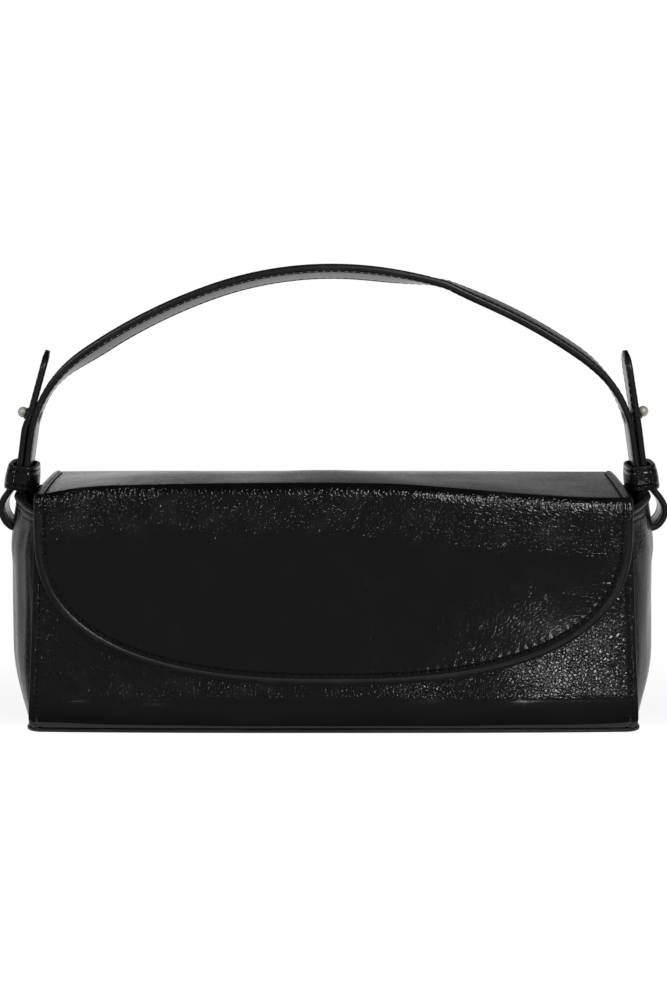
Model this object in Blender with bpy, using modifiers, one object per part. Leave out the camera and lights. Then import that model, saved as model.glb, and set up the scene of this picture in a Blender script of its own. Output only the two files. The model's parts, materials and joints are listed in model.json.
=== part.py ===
"""Flap-front top handle bag in patent leather, modelled at rest and closed.

Metres, +Z up. The origin is the middle of the base's underside, +X runs along the
bag and the flap faces -Y. Sheets of leather are open surfaces with thickness, the
straps are ribbons along tangent arcs, and turned pieces are profiles on an axis.
"""

import math

import bmesh
import bpy
from mathutils import Matrix, Vector

MM = 0.001

# Fits between pieces
GAP = 0.3 * MM
CURVED_GAP = 0.9 * MM
SLOT_CLEARANCE = 0.75 * MM
KEEPER_CLEARANCE = 0.6 * MM

# Body of the bag
TOP_HALF_WIDTH = 133.2 * MM
FOOT_FLARE = 4.2 * MM
FRONT_TOP_DEPTH = 39.6 * MM
BACK_TOP_DEPTH = 39.0 * MM
FRONT_SWELL = 2.4 * MM
BACK_SWELL = 1.2 * MM
SWELL_HEIGHT = 18.0 * MM
FOOT_TUCK = 3.6 * MM
FRONT_PANEL_DROP = 10.5 * MM
BACK_PANEL_DROP = 3.1 * MM
PANEL_THICKNESS = 1.6 * MM
BASE_THICKNESS = 1.6 * MM
BASE_CORNER_RADIUS = 7.0 * MM
FOOT_CORNER_RADIUS = 5.0 * MM

# Gussets
GUSSET_SEAM_HALF_WIDTH = 130.5 * MM
GUSSET_REACH = 148.0 * MM
GUSSET_FOOT_TUCK = 11.0 * MM
GUSSET_FOOT_HEIGHT = 24.0 * MM
GUSSET_LEAN = 2.4 * MM
GUSSET_LEAN_START = 80.0 * MM
GUSSET_THICKNESS = 1.4 * MM
GUSSET_FLANGE = 8.0 * MM
GUSSET_PEAK = 101.0 * MM
GUSSET_CORNER_DROP = 6.5 * MM
BINDING_RADIUS = 1.25 * MM

# Stiffeners and lining
BOARD_THICKNESS = 1.0 * MM
BOARD_HALF_WIDTH = 118.0 * MM
BOARD_FOOT = 6.0 * MM
BASE_BOARD_HALF_WIDTH = 125.0 * MM
BASE_BOARD_HALF_DEPTH = 33.0 * MM
LINING_THICKNESS = 0.8 * MM
LINING_HALF_WIDTH = 121.0 * MM
LINING_TOP = 95.0 * MM
LINING_CORNER = 5.0 * MM
GUSSET_LINING_TOP = 79.0 * MM
POCKET_WIDTH = 140.0 * MM
POCKET_HEIGHT = 55.0 * MM
POCKET_TOP = 80.0 * MM
POCKET_WALL = 0.8 * MM
POCKET_OPENING = 1.4 * MM
POCKET_CORNER = 8.0 * MM

# Flap
FLAP_HALF_WIDTH = 134.0 * MM
FLAP_TOP_HEIGHT = 106.5 * MM
FLAP_DOME = 1.3 * MM
FLAP_CROWN = 6.0 * MM
FLAP_CROWN_POWER = 3.0
FLAP_LEATHER = 1.4 * MM
FLAP_LINING = 0.9 * MM
FLAP_LINING_INSET = 0.8 * MM
FLAP_FOLD_RADIUS = 9.0 * MM
FLAP_DROP_SHOULDER = 92.0 * MM
FLAP_DROP_TIP = 22.0 * MM
FLAP_DROP_POWER = 2.5
BACK_RIDGE_DEPTH = 40.0 * MM

# Magnetic snap under the flap
SNAP_HEIGHT = 44.0 * MM
SNAP_RADIUS = 7.0 * MM
SNAP_BORE_RADIUS = 3.4 * MM
SNAP_NUB_RADIUS = 2.0 * MM
SNAP_NUB_HEIGHT = 0.9 * MM
SNAP_DISC_THICKNESS = 0.9 * MM
SNAP_SOCKET_WALL = 0.6 * MM
SNAP_WASHER_RADIUS = 8.5 * MM
SNAP_WASHER_THICKNESS = 0.5 * MM

# Strap
STRAP_WIDTH = 20.0 * MM
STRAP_THICKNESS = 2.9 * MM
STRAP_EDGE = 0.9 * MM
TAIL_EDGE = 0.6 * MM

# Handle arch, as arcs that meet tangent, from the crown outwards
HANDLE_HEIGHT = 208.3 * MM
CROWN_RADIUS = 162.0 * MM
CROWN_TURN = math.radians(17.0)
FLANK_RADIUS = 262.0 * MM
FLANK_TURN = math.radians(33.4)
SHOULDER_RADIUS = 60.0 * MM
LEG_TURN = math.radians(83.4)

# Swing of the handle on its strap ends
SWING_HEIGHT = 132.0 * MM
SWING_TRIM = 6.0 * MM

# Loop of the strap through the gusset slot
LOOP_SLOT_HEIGHT = 86.0 * MM
LOOP_REACH = 153.2 * MM
LOOP_WAIST_HEIGHT = 95.5 * MM
LOOP_INSIDE_REACH = 140.6 * MM
LOOP_INSIDE_HEIGHT = 94.5 * MM
SLOT_RISE = 2.4 * MM
SLOT_PATCH_WIDTH = 34.0 * MM
SLOT_PATCH_HEIGHT = 13.0 * MM
SLOT_PATCH_THICKNESS = 1.0 * MM

# Keepers
KEEPER_FOOT = 105.5 * MM
KEEPER_HEIGHT = 11.5 * MM
KEEPER_WALL = 1.6 * MM
KEEPER_ROOM = 10.8 * MM
KEEPER_OFFSET = 1.6 * MM
KEEPER_TILT = math.radians(7.4)
KEEPER_CORNER = 3.6 * MM

# Strap tails and their studs
TAIL_TIP_HEIGHT = 168.6 * MM
TAIL_LEAN = math.radians(14.5)
TAIL_POINT = 9.0 * MM
TAIL_POINT_POWER = 1.8
TAIL_POINT_FLAT = 0.93
STUD_HEIGHT = 140.0 * MM
STUD_BALL_RADIUS = 2.5 * MM
STUD_NECK_RADIUS = 1.6 * MM
STUD_STANDOFF = 2.0 * MM
STUD_BORE_RADIUS = 1.0 * MM
TAIL_HOLE_CLEARANCE = 1.3 * MM
TAIL_SLIT_WIDTH = 1.0 * MM
TAIL_SLIT_LENGTH = 5.0 * MM
SCREW_HEAD_RADIUS = 3.6 * MM
SCREW_HEAD_HEIGHT = 1.0 * MM
SCREW_SLOT_WIDTH = 0.8 * MM
SCREW_SLOT_DEPTH = 0.5 * MM

# Sizes that follow from the ones above
FLAP_THICKNESS = FLAP_LEATHER + GAP + FLAP_LINING
BASE_TOP = BASE_THICKNESS + GAP
FRONT_PANEL_TOP = FLAP_TOP_HEIGHT - FRONT_PANEL_DROP
BACK_PANEL_TOP = FLAP_TOP_HEIGHT - BACK_PANEL_DROP
FOLD_END_HEIGHT = FLAP_TOP_HEIGHT - FLAP_FOLD_RADIUS
HALF_STRAP = STRAP_WIDTH / 2

LEATHER = (0.012, 0.012, 0.013)
STRAP_LEATHER = (0.016, 0.016, 0.018)
EDGE_PAINT = (0.020, 0.020, 0.021)
BOARD_GREY = (0.35, 0.33, 0.30)
LINING_BLACK = (0.020, 0.018, 0.018)
PALE_BRASS = (0.72, 0.62, 0.45)
NICKEL = (0.60, 0.59, 0.56)


# Scene and objects


def clear_scene():
    """Removes what the scene starts with."""
    for obj in list(bpy.data.objects):
        bpy.data.objects.remove(obj, do_unlink=True)


def new_collection(name):
    """Makes a collection in the scene."""
    group = bpy.data.collections.new(name)
    bpy.context.scene.collection.children.link(group)
    return group


def finish(name, colour, roughness, metallic=0.0):
    """Makes a plain material."""
    material = bpy.data.materials.new(name)
    material.use_nodes = True
    shader = material.node_tree.nodes["Principled BSDF"]
    shader.inputs["Base Color"].default_value = (*colour, 1.0)
    shader.inputs["Roughness"].default_value = roughness
    shader.inputs["Metallic"].default_value = metallic
    return material


def part_object(name, mesh, material, group):
    """Adds a mesh to the scene as a named sub-part."""
    obj = bpy.data.objects.new(name, mesh)
    group.objects.link(obj)
    mesh.materials.clear()
    mesh.materials.append(material)
    mesh.shade_smooth()
    mesh.set_sharp_from_angle(angle=math.radians(35.0))
    return obj


def as_cutter(obj):
    """Marks an object as a cutter."""
    obj.hide_render = True
    obj.display_type = "WIRE"
    return obj


def set_origin(obj, point):
    """Moves the object's own origin to a world point and leaves its shape in place."""
    obj.data.transform(Matrix.Translation(-Vector(point)))
    obj.location = Vector(point)


def pivot(name, point, group, parent=None):
    """Adds an empty on a joint's axis."""
    empty = bpy.data.objects.new(name, None)
    group.objects.link(empty)
    empty.empty_display_size = 10.0 * MM
    empty.location = Vector(point)
    if parent is not None:
        carry(empty, parent)
    return empty


def carry(obj, parent):
    """Parents an object that stands in world space to an empty that isn't turned."""
    obj.parent = parent
    base = Vector((0.0, 0.0, 0.0))
    walker = parent
    while walker is not None:
        base = base + walker.location
        walker = walker.parent
    obj.location = obj.location - base


# Modifiers


def thicken(obj, thickness):
    """Gives an open surface its thickness on the side away from its normals."""
    modifier = obj.modifiers.new("thickness", "SOLIDIFY")
    modifier.thickness = thickness
    modifier.offset = -1.0
    modifier.use_even_offset = True
    modifier.use_quality_normals = True


def round_edges(obj, width, segments=2, angle=math.radians(55.0)):
    """Rounds the sharp edges."""
    modifier = obj.modifiers.new("edges", "BEVEL")
    modifier.width = width
    modifier.segments = segments
    modifier.limit_method = "ANGLE"
    modifier.angle_limit = angle
    modifier.use_clamp_overlap = True


def cut(obj, cutter):
    """Takes the cutter's space out of the object."""
    modifier = obj.modifiers.new("cut", "BOOLEAN")
    modifier.operation = "DIFFERENCE"
    modifier.solver = "EXACT"
    modifier.object = cutter


# Surfaces


def surface(name, columns, rows, rule, outward, material, group):
    """Bends a grid into an open surface.

    The rule gives the point at u and v, both from 0 to 1. The surface's normals are
    turned to the side of the outward vector at the middle of the grid.
    """
    work = bmesh.new()
    bmesh.ops.create_grid(work, x_segments=columns, y_segments=rows, size=0.5)
    for vertex in work.verts:
        vertex.co = Vector(rule(vertex.co.x + 0.5, vertex.co.y + 0.5))
    work.normal_update()
    middle = Vector(rule(0.5, 0.5))
    face = min(work.faces, key=lambda item: (item.calc_center_median() - middle).length)
    if face.normal.dot(Vector(outward)) < 0.0:
        bmesh.ops.reverse_faces(work, faces=work.faces[:])
    mesh = bpy.data.meshes.new(name)
    work.to_mesh(mesh)
    work.free()
    return part_object(name, mesh, material, group)


def mirrored(obj, name, group):
    """Copies an object to the other side of the bag, with its modifiers."""
    mesh = obj.data.copy()
    mesh.name = name
    mesh.transform(obj.matrix_basis)
    mesh.transform(Matrix.Scale(-1.0, 4, Vector((1.0, 0.0, 0.0))))
    mesh.flip_normals()
    twin = bpy.data.objects.new(name, mesh)
    group.objects.link(twin)
    for source in obj.modifiers:
        copy = twin.modifiers.new(source.name, source.type)
        if source.type == "SOLIDIFY":
            copy.thickness = source.thickness
            copy.offset = source.offset
            copy.use_even_offset = source.use_even_offset
            copy.use_quality_normals = source.use_quality_normals
        if source.type == "BEVEL":
            copy.width = source.width
            copy.segments = source.segments
            copy.limit_method = source.limit_method
            copy.angle_limit = source.angle_limit
            copy.use_clamp_overlap = source.use_clamp_overlap
        if source.type == "BOOLEAN":
            copy.operation = source.operation
            copy.solver = source.solver
            copy.object = source.object
    return twin


def baked(obj):
    """Replaces an object's modifiers by the mesh that they make."""
    graph = bpy.context.evaluated_depsgraph_get()
    graph.update()
    mesh = bpy.data.meshes.new_from_object(obj.evaluated_get(graph))
    old = obj.data
    obj.modifiers.clear()
    obj.data = mesh
    if isinstance(old, bpy.types.Mesh):
        bpy.data.meshes.remove(old)
    return obj


def flat_outline(name, points, thickness, material, group, bevel=0.0):
    """Fills a closed outline in the XY plane, centred on its plane."""
    curve = bpy.data.curves.new(name, "CURVE")
    curve.dimensions = "2D"
    curve.fill_mode = "BOTH"
    curve.extrude = thickness / 2 - bevel
    curve.bevel_depth = bevel
    curve.bevel_resolution = 1
    curve.offset = -bevel
    spline = curve.splines.new("POLY")
    spline.points.add(len(points) - 1)
    for target, point in zip(spline.points, points):
        target.co = (point[0], point[1], 0.0, 1.0)
    spline.use_cyclic_u = True
    obj = bpy.data.objects.new(name, curve)
    group.objects.link(obj)
    curve.materials.append(material)
    return obj


def to_mesh(obj):
    """Turns a curve object into a mesh object with its caps welded on."""
    bpy.context.view_layer.update()
    graph = bpy.context.evaluated_depsgraph_get()
    mesh = bpy.data.meshes.new_from_object(obj.evaluated_get(graph))
    work = bmesh.new()
    work.from_mesh(mesh)
    bmesh.ops.remove_doubles(work, verts=work.verts[:], dist=0.001 * MM)
    bmesh.ops.recalc_face_normals(work, faces=work.faces[:])
    work.to_mesh(mesh)
    work.free()
    name = obj.name
    group = obj.users_collection[0]
    place = obj.matrix_world.copy()
    bpy.data.objects.remove(obj, do_unlink=True)
    result = bpy.data.objects.new(name, mesh)
    group.objects.link(result)
    result.matrix_world = place
    mesh.shade_smooth()
    mesh.set_sharp_from_angle(angle=math.radians(35.0))
    return result


def box_solid(name, low, high, material, group):
    """Makes a box between two corners."""
    work = bmesh.new()
    bmesh.ops.create_cube(work, size=1.0)
    low = Vector(low)
    high = Vector(high)
    span = high - low
    for vertex in work.verts:
        vertex.co = low + Vector(
            ((vertex.co.x + 0.5) * span.x, (vertex.co.y + 0.5) * span.y, (vertex.co.z + 0.5) * span.z)
        )
    mesh = bpy.data.meshes.new(name)
    work.to_mesh(mesh)
    work.free()
    return part_object(name, mesh, material, group)


def rod(name, start, end, radius, sides, material, group):
    """Makes a round rod between two points."""
    start = Vector(start)
    end = Vector(end)
    axis = end - start
    work = bmesh.new()
    bmesh.ops.create_cone(
        work, cap_ends=True, segments=sides, radius1=radius, radius2=radius, depth=axis.length
    )
    turn = axis.to_track_quat("Z", "Y").to_matrix().to_4x4()
    turn = Matrix.Translation((start + end) / 2) @ turn
    bmesh.ops.transform(work, matrix=turn, verts=work.verts[:])
    mesh = bpy.data.meshes.new(name)
    work.to_mesh(mesh)
    work.free()
    return part_object(name, mesh, material, group)


def turned(name, profile, steps, material, group, closed=False):
    """Turns a profile of radius and height points round the Z axis.

    A closed profile makes a ring.
    """
    mesh = bpy.data.meshes.new(name)
    work = bmesh.new()
    corners = [work.verts.new((radius, 0.0, height)) for radius, height in profile]
    for first, second in zip(corners, corners[1:]):
        work.edges.new((first, second))
    if closed:
        work.edges.new((corners[-1], corners[0]))
    work.to_mesh(mesh)
    work.free()
    obj = bpy.data.objects.new(name, mesh)
    group.objects.link(obj)
    modifier = obj.modifiers.new("turn", "SCREW")
    modifier.steps = steps
    modifier.render_steps = steps
    modifier.use_merge_vertices = True
    modifier.merge_threshold = 0.01 * MM
    modifier.use_smooth_shade = True
    mesh.materials.append(material)
    return obj


# Rules of the body


def front_depth(height):
    """Gives how far the front panel's outer face stands from the middle at a height."""
    if height >= SWELL_HEIGHT:
        rise = (height - SWELL_HEIGHT) / (FRONT_PANEL_TOP - SWELL_HEIGHT)
        return FRONT_TOP_DEPTH + FRONT_SWELL * (1.0 - rise**2)
    fall = (SWELL_HEIGHT - height) / SWELL_HEIGHT
    return FRONT_TOP_DEPTH + FRONT_SWELL - FOOT_TUCK * fall**2.2


def back_depth(height):
    """Gives how far the back panel's outer face stands from the middle at a height."""
    if height >= SWELL_HEIGHT:
        rise = (height - SWELL_HEIGHT) / (BACK_PANEL_TOP - SWELL_HEIGHT)
        return BACK_TOP_DEPTH + BACK_SWELL * (1.0 - rise**2)
    fall = (SWELL_HEIGHT - height) / SWELL_HEIGHT
    return BACK_TOP_DEPTH + BACK_SWELL - FOOT_TUCK * fall**2.2


def panel_half_width(height):
    """Gives the half width of the front and back panels, with rounded lower corners."""
    share = 1.0 - min(height / FRONT_PANEL_TOP, 1.0)
    width = TOP_HALF_WIDTH + FOOT_FLARE * share**1.6
    above_foot = height - BASE_TOP
    if above_foot < FOOT_CORNER_RADIUS:
        drop = FOOT_CORNER_RADIUS - above_foot
        inset = FOOT_CORNER_RADIUS - math.sqrt(FOOT_CORNER_RADIUS**2 - drop**2)
        width -= 0.35 * inset
    return width


def gusset_reach(height):
    """Gives how far the gusset's outer face reaches at the middle of the side."""
    reach = GUSSET_REACH
    if height < GUSSET_FOOT_HEIGHT:
        fall = (GUSSET_FOOT_HEIGHT - height) / GUSSET_FOOT_HEIGHT
        reach -= GUSSET_FOOT_TUCK * fall**2.2
    if height > GUSSET_LEAN_START:
        rise = (height - GUSSET_LEAN_START) / (GUSSET_PEAK - GUSSET_LEAN_START)
        reach -= GUSSET_LEAN * rise**1.5
    return reach


def gusset_point(turn, height, inset):
    """Gives a point of the gusset's plan curve.

    The turn runs from -1 at the front seam to 1 at the back seam. The curve is half an
    oval between the seams, drawn in by the inset.
    """
    front = front_depth(height) - PANEL_THICKNESS - GAP - inset
    back = back_depth(height) - PANEL_THICKNESS - GAP - inset
    centre = (back - front) / 2
    half = (back + front) / 2
    bulge = gusset_reach(height) - GUSSET_SEAM_HALF_WIDTH - inset
    angle = turn * math.pi / 2
    along = GUSSET_SEAM_HALF_WIDTH + bulge * math.cos(angle)
    return along, centre + half * math.sin(angle)


def gusset_edge(turn, depth_share):
    """Gives the height of the gusset's arched top edge."""
    del turn
    return GUSSET_PEAK - GUSSET_CORNER_DROP * depth_share**2


# Sheets of the body


def panel(name, depth_rule, side, top, material, group):
    """Makes the front or the back panel."""
    rows = 22

    def rule(u, v):
        height = BASE_TOP + (top - BASE_TOP) * v**1.35
        half = panel_half_width(height)
        return ((2.0 * u - 1.0) * half, side * depth_rule(height), height)

    obj = surface(name, 2, rows, rule, (0.0, side, 0.0), material, group)
    thicken(obj, PANEL_THICKNESS)
    round_edges(obj, 0.45 * MM, 1)
    return obj


def board(name, depth_rule, side, top, material, group):
    """Makes the stiffener behind a panel."""
    inset = PANEL_THICKNESS + GAP

    def rule(u, v):
        height = BOARD_FOOT + (top - GAP - 3.0 * MM - BOARD_FOOT) * v
        return ((2.0 * u - 1.0) * BOARD_HALF_WIDTH, side * (depth_rule(height) - inset), height)

    obj = surface(name, 2, 10, rule, (0.0, side, 0.0), material, group)
    thicken(obj, BOARD_THICKNESS)
    return obj


def gusset(material, group):
    """Makes the right gusset with a flange behind each panel."""
    columns = 18
    flange_share = 1.0 / columns

    def rule(u, v):
        if u < flange_share:
            turn = -1.0
            flange = (1.0 - u / flange_share) * GUSSET_FLANGE
        elif u > 1.0 - flange_share:
            turn = 1.0
            flange = (u - 1.0 + flange_share) / flange_share * GUSSET_FLANGE
        else:
            turn = 2.0 * (u - flange_share) / (1.0 - 2.0 * flange_share) - 1.0
            flange = 0.0
        share = abs(math.sin(turn * math.pi / 2))
        top = gusset_edge(turn, share)
        height = BASE_TOP + (top - BASE_TOP) * v**1.2
        along, across = gusset_point(turn, height, 0.0)
        return (along - flange, across, height)

    obj = surface("right_gusset", columns, 12, rule, (1.0, 0.0, 0.0), material, group)
    thicken(obj, GUSSET_THICKNESS)
    return obj


def gusset_binding(material, group):
    """Makes the rolled binding along the right gusset's arched edge."""
    curve = bpy.data.curves.new("right_gusset_binding", "CURVE")
    curve.dimensions = "3D"
    curve.bevel_depth = BINDING_RADIUS
    curve.bevel_resolution = 2
    curve.use_fill_caps = True
    steps = 24
    spline = curve.splines.new("POLY")
    spline.points.add(steps)
    for index in range(steps + 1):
        turn = 0.94 * (2.0 * index / steps - 1.0)
        share = abs(math.sin(turn * math.pi / 2))
        edge = gusset_edge(turn, share)
        along, across = gusset_point(turn, edge, GUSSET_THICKNESS / 2)
        spline.points[index].co = (along, across, edge + GAP + BINDING_RADIUS, 1.0)
    obj = bpy.data.objects.new("right_gusset_binding", curve)
    group.objects.link(obj)
    curve.materials.append(material)
    return to_mesh(obj)


def gusset_lining(material, group):
    """Makes the lining inside the right gusset, up to below the strap slot."""
    inset = GUSSET_THICKNESS + CURVED_GAP
    turn_limit = 0.86

    def rule(u, v):
        turn = turn_limit * (2.0 * u - 1.0)
        height = BASE_TOP + BOARD_FOOT + (GUSSET_LINING_TOP - BASE_TOP - BOARD_FOOT) * v
        along, across = gusset_point(turn, height, inset)
        return (along, across, height)

    obj = surface("right_gusset_lining", 10, 6, rule, (1.0, 0.0, 0.0), material, group)
    thicken(obj, LINING_THICKNESS)
    return obj


def slot_patch(material, group):
    """Makes the leather patch that backs the strap slot inside the right gusset."""
    inset = GUSSET_THICKNESS + GAP
    half_turn = math.asin(SLOT_PATCH_WIDTH / 2 / FRONT_TOP_DEPTH) / (math.pi / 2)

    def rule(u, v):
        turn = half_turn * (2.0 * u - 1.0)
        height = LOOP_SLOT_HEIGHT + SLOT_PATCH_HEIGHT * (v - 0.5)
        along, across = gusset_point(turn, height, inset)
        return (along, across, height)

    obj = surface("right_slot_patch", 8, 4, rule, (1.0, 0.0, 0.0), material, group)
    thicken(obj, SLOT_PATCH_THICKNESS)
    return obj


def rounded_rectangle(half_x, half_y, radius, steps=6):
    """Gives the points of a rounded rectangle."""
    points = []
    for corner, (sign_x, sign_y) in enumerate(((1, 1), (-1, 1), (-1, -1), (1, -1))):
        for step in range(steps + 1):
            angle = (corner + step / steps) * math.pi / 2
            points.append(
                (
                    sign_x * (half_x - radius) + radius * math.cos(angle),
                    sign_y * (half_y - radius) + radius * math.sin(angle),
                )
            )
    return points


def base_panel(material, group):
    """Makes the base, whose edge shows below the panels."""
    front = front_depth(BASE_TOP)
    back = back_depth(BASE_TOP)
    half_width = gusset_reach(BASE_TOP)
    points = rounded_rectangle(half_width, (front + back) / 2, BASE_CORNER_RADIUS)
    obj = flat_outline("base_panel", points, BASE_THICKNESS, material, group, 0.3 * MM)
    obj.location = (0.0, (back - front) / 2, BASE_THICKNESS / 2)
    return to_mesh(obj)


def base_board(material, group):
    """Makes the stiffener on the base."""
    points = rounded_rectangle(BASE_BOARD_HALF_WIDTH, BASE_BOARD_HALF_DEPTH, BASE_CORNER_RADIUS)
    obj = flat_outline("base_board", points, BOARD_THICKNESS, material, group)
    obj.location = (0.0, 0.0, BASE_TOP + BOARD_THICKNESS / 2)
    return to_mesh(obj)


def lining_depth(height, depth_rule):
    """Gives the lining's outer face inside a panel and its stiffener."""
    return depth_rule(height) - PANEL_THICKNESS - GAP - BOARD_THICKNESS - GAP


def lining_path():
    """Gives the lining's outer face from the front mouth over the base to the back mouth."""
    floor = BASE_TOP + BOARD_THICKNESS + GAP
    points = []
    rises = 8
    for step in range(rises + 1):
        height = LINING_TOP + (floor + LINING_CORNER - LINING_TOP) * step / rises
        points.append((-lining_depth(height, front_depth), height))
    for side, rule in ((-1.0, front_depth), (1.0, back_depth)):
        turn = floor + LINING_CORNER
        wall = side * (lining_depth(turn, rule) - LINING_CORNER)
        corner = []
        for step in range(1, 6):
            angle = step / 6 * math.pi / 2
            corner.append(
                (wall + side * LINING_CORNER * math.cos(angle), turn - LINING_CORNER * math.sin(angle))
            )
        corner.append((wall, floor))
        if side > 0.0:
            corner.reverse()
        points.extend(corner)
    for step in range(rises + 1):
        height = floor + LINING_CORNER + (LINING_TOP - floor - LINING_CORNER) * step / rises
        points.append((lining_depth(height, back_depth), height))
    return points


def body_lining(material, group):
    """Makes the lining of the two walls and the floor."""
    path = lining_path()

    def rule(u, v):
        across, height = path[round(v * (len(path) - 1))]
        return ((2.0 * u - 1.0) * LINING_HALF_WIDTH, across, height)

    obj = surface("body_lining", 2, len(path) - 1, rule, (0.0, 0.0, -1.0), material, group)
    thicken(obj, LINING_THICKNESS)
    return obj


def inner_pocket(material, group, tools):
    """Makes the slip pocket on the back lining, open at its top."""
    thickness = 2.0 * POCKET_WALL + POCKET_OPENING
    points = rounded_rectangle(POCKET_WIDTH / 2, POCKET_HEIGHT / 2, POCKET_CORNER)
    obj = flat_outline("inner_pocket", points, thickness, material, group)
    heights = (POCKET_TOP - POCKET_HEIGHT, POCKET_TOP)
    wall = min(lining_depth(height, back_depth) for height in heights) - LINING_THICKNESS
    middle = wall - GAP - thickness / 2
    obj.rotation_euler = (math.pi / 2, 0.0, 0.0)
    obj.location = (0.0, middle, POCKET_TOP - POCKET_HEIGHT / 2)
    obj = to_mesh(obj)
    low = (-POCKET_WIDTH / 2 + 3.0 * MM, middle - POCKET_OPENING / 2, POCKET_TOP - POCKET_HEIGHT + 3.0 * MM)
    high = (POCKET_WIDTH / 2 - 3.0 * MM, middle + POCKET_OPENING / 2, POCKET_TOP + 3.0 * MM)
    hollow = as_cutter(box_solid("cut_pocket", low, high, material, tools))
    cut(obj, hollow)
    return obj


# Flap


def flap_face(height):
    """Gives how far the flap's outer face stands from the middle where it hangs."""
    return front_depth(height) + GAP + FLAP_THICKNESS


def fold_centre_depth():
    """Gives the depth of the front fold's centre, where the flat top ends."""
    return flap_face(FOLD_END_HEIGHT) - FLAP_FOLD_RADIUS


def dome(depth):
    """Gives the height of the flap's outer face between the ridges."""
    front = -fold_centre_depth()
    middle = (BACK_RIDGE_DEPTH + front) / 2
    half = (BACK_RIDGE_DEPTH - front) / 2
    share = (depth - middle) / half
    return FLAP_TOP_HEIGHT + FLAP_DOME * math.cos(share * math.pi / 2) ** 2


def crown(along):
    """Gives how far the soft front ridge arches up at a place along the bag."""
    share = abs(along) / FLAP_HALF_WIDTH
    return FLAP_CROWN * (1.0 - share**FLAP_CROWN_POWER)


def flap_top_sheet(name, inset, thickness, side_inset, material, group):
    """Makes a layer of the flap over the mouth."""
    front = -fold_centre_depth() + GAP
    back = BACK_RIDGE_DEPTH - GAP
    half = FLAP_HALF_WIDTH - side_inset
    columns = 12
    rows = 8

    def rule(u, v):
        along = (2.0 * u - 1.0) * half
        depth = back + (front - back) * v
        lift = crown(along) * math.sin(v * math.pi / 2)
        return (along, depth, dome(depth) + lift - inset)

    obj = surface(name, columns, rows, rule, (0.0, 0.0, 1.0), material, group)
    thicken(obj, thickness)
    return obj


def drop_half_width(height, side_inset):
    """Gives the half width of the hanging part of the flap."""
    reach = FLAP_HALF_WIDTH - side_inset
    fall = FLAP_DROP_SHOULDER - height
    if fall <= 0.0:
        return reach
    share = fall / (FLAP_DROP_SHOULDER - FLAP_DROP_TIP - side_inset)
    share = min(share, 1.0)
    return reach * (1.0 - share**FLAP_DROP_POWER) ** (1.0 / FLAP_DROP_POWER)


def flap_front_rows(inset, side_inset):
    """Gives depth, height, half width and share of the crown down the front of the flap."""
    centre = fold_centre_depth()
    radius = FLAP_FOLD_RADIUS - inset
    reach = FLAP_HALF_WIDTH - side_inset
    rows = []
    start = math.asin(min(GAP / radius, 1.0))
    turns = 6
    for step in range(turns + 1):
        angle = start + (math.pi / 2 - start) * step / turns
        depth = -centre - radius * math.sin(angle)
        height = FOLD_END_HEIGHT + radius * math.cos(angle)
        rows.append((depth, height, reach, 1.0))
    fall = FLAP_DROP_SHOULDER - FLAP_DROP_TIP - side_inset
    steps = 18
    last = 0.09
    for step in range(steps + 1):
        angle = (math.pi / 2) * step / steps
        share = math.sin(angle) ** (2.0 / FLAP_DROP_POWER)
        if step == steps:
            share = (1.0 - last**FLAP_DROP_POWER) ** (1.0 / FLAP_DROP_POWER)
        height = FLAP_DROP_SHOULDER - fall * share
        half = drop_half_width(height, side_inset)
        rows.append((-(flap_face(height) - inset), height, half, 0.0))
    return rows


def flap_front_sheet(name, inset, thickness, side_inset, material, group):
    """Makes a layer of the flap's fold and drop."""
    rows = flap_front_rows(inset, side_inset)
    columns = 12

    def rule(u, v):
        depth, height, half, lift = rows[round(v * (len(rows) - 1))]
        along = (2.0 * u - 1.0) * half
        return (along, depth, height + crown(along) * lift)

    obj = surface(name, columns, len(rows) - 1, rule, (0.0, -1.0, 0.0), material, group)
    thicken(obj, thickness)
    return obj


# Strap paths in the XZ plane, as outer face points from the crown outwards


def arch_path(lowest):
    """Gives points and headings of the handle's outer face, crown to leg."""
    arcs = ((CROWN_RADIUS, CROWN_TURN, 6), (FLANK_RADIUS, FLANK_TURN, 7), (SHOULDER_RADIUS, LEG_TURN, 11))
    along = 0.0
    height = HANDLE_HEIGHT
    heading = 0.0
    points = [(along, height, heading)]
    for radius, turn, steps in arcs:
        start = heading
        origin = (along, height)
        for step in range(1, steps + 1):
            heading = start + (turn - start) * step / steps
            along = origin[0] + radius * (math.sin(heading) - math.sin(start))
            height = origin[1] - radius * (math.cos(start) - math.cos(heading))
            points.append((along, height, heading))
    fall = height - lowest
    steps = 4
    for step in range(1, steps + 1):
        points.append(
            (along + fall * step / steps / math.tan(heading), height - fall * step / steps, heading)
        )
    return points


def leg_point(height):
    """Gives the handle's outer face and its heading at a height."""
    path = arch_path(GUSSET_PEAK)
    for first, second in zip(path, path[1:]):
        if second[1] <= height <= first[1]:
            share = (first[1] - height) / (first[1] - second[1])
            return (
                first[0] + (second[0] - first[0]) * share,
                first[2] + (second[2] - first[2]) * share,
            )
    return path[-1][0], path[-1][2]


def smooth_path(points, steps):
    """Runs a smooth curve through the points."""
    result = []
    last = len(points) - 1
    for index in range(last):
        before = Vector(points[max(index - 1, 0)])
        start = Vector(points[index])
        end = Vector(points[index + 1])
        after = Vector(points[min(index + 2, last)])
        for step in range(steps):
            t = step / steps
            value = (
                2.0 * start
                + (end - before) * t
                + (2.0 * before - 5.0 * start + 4.0 * end - after) * t**2
                + (3.0 * start - before - 3.0 * end + after) * t**3
            )
            result.append(value / 2.0)
    result.append(Vector(points[last]))
    return result


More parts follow.
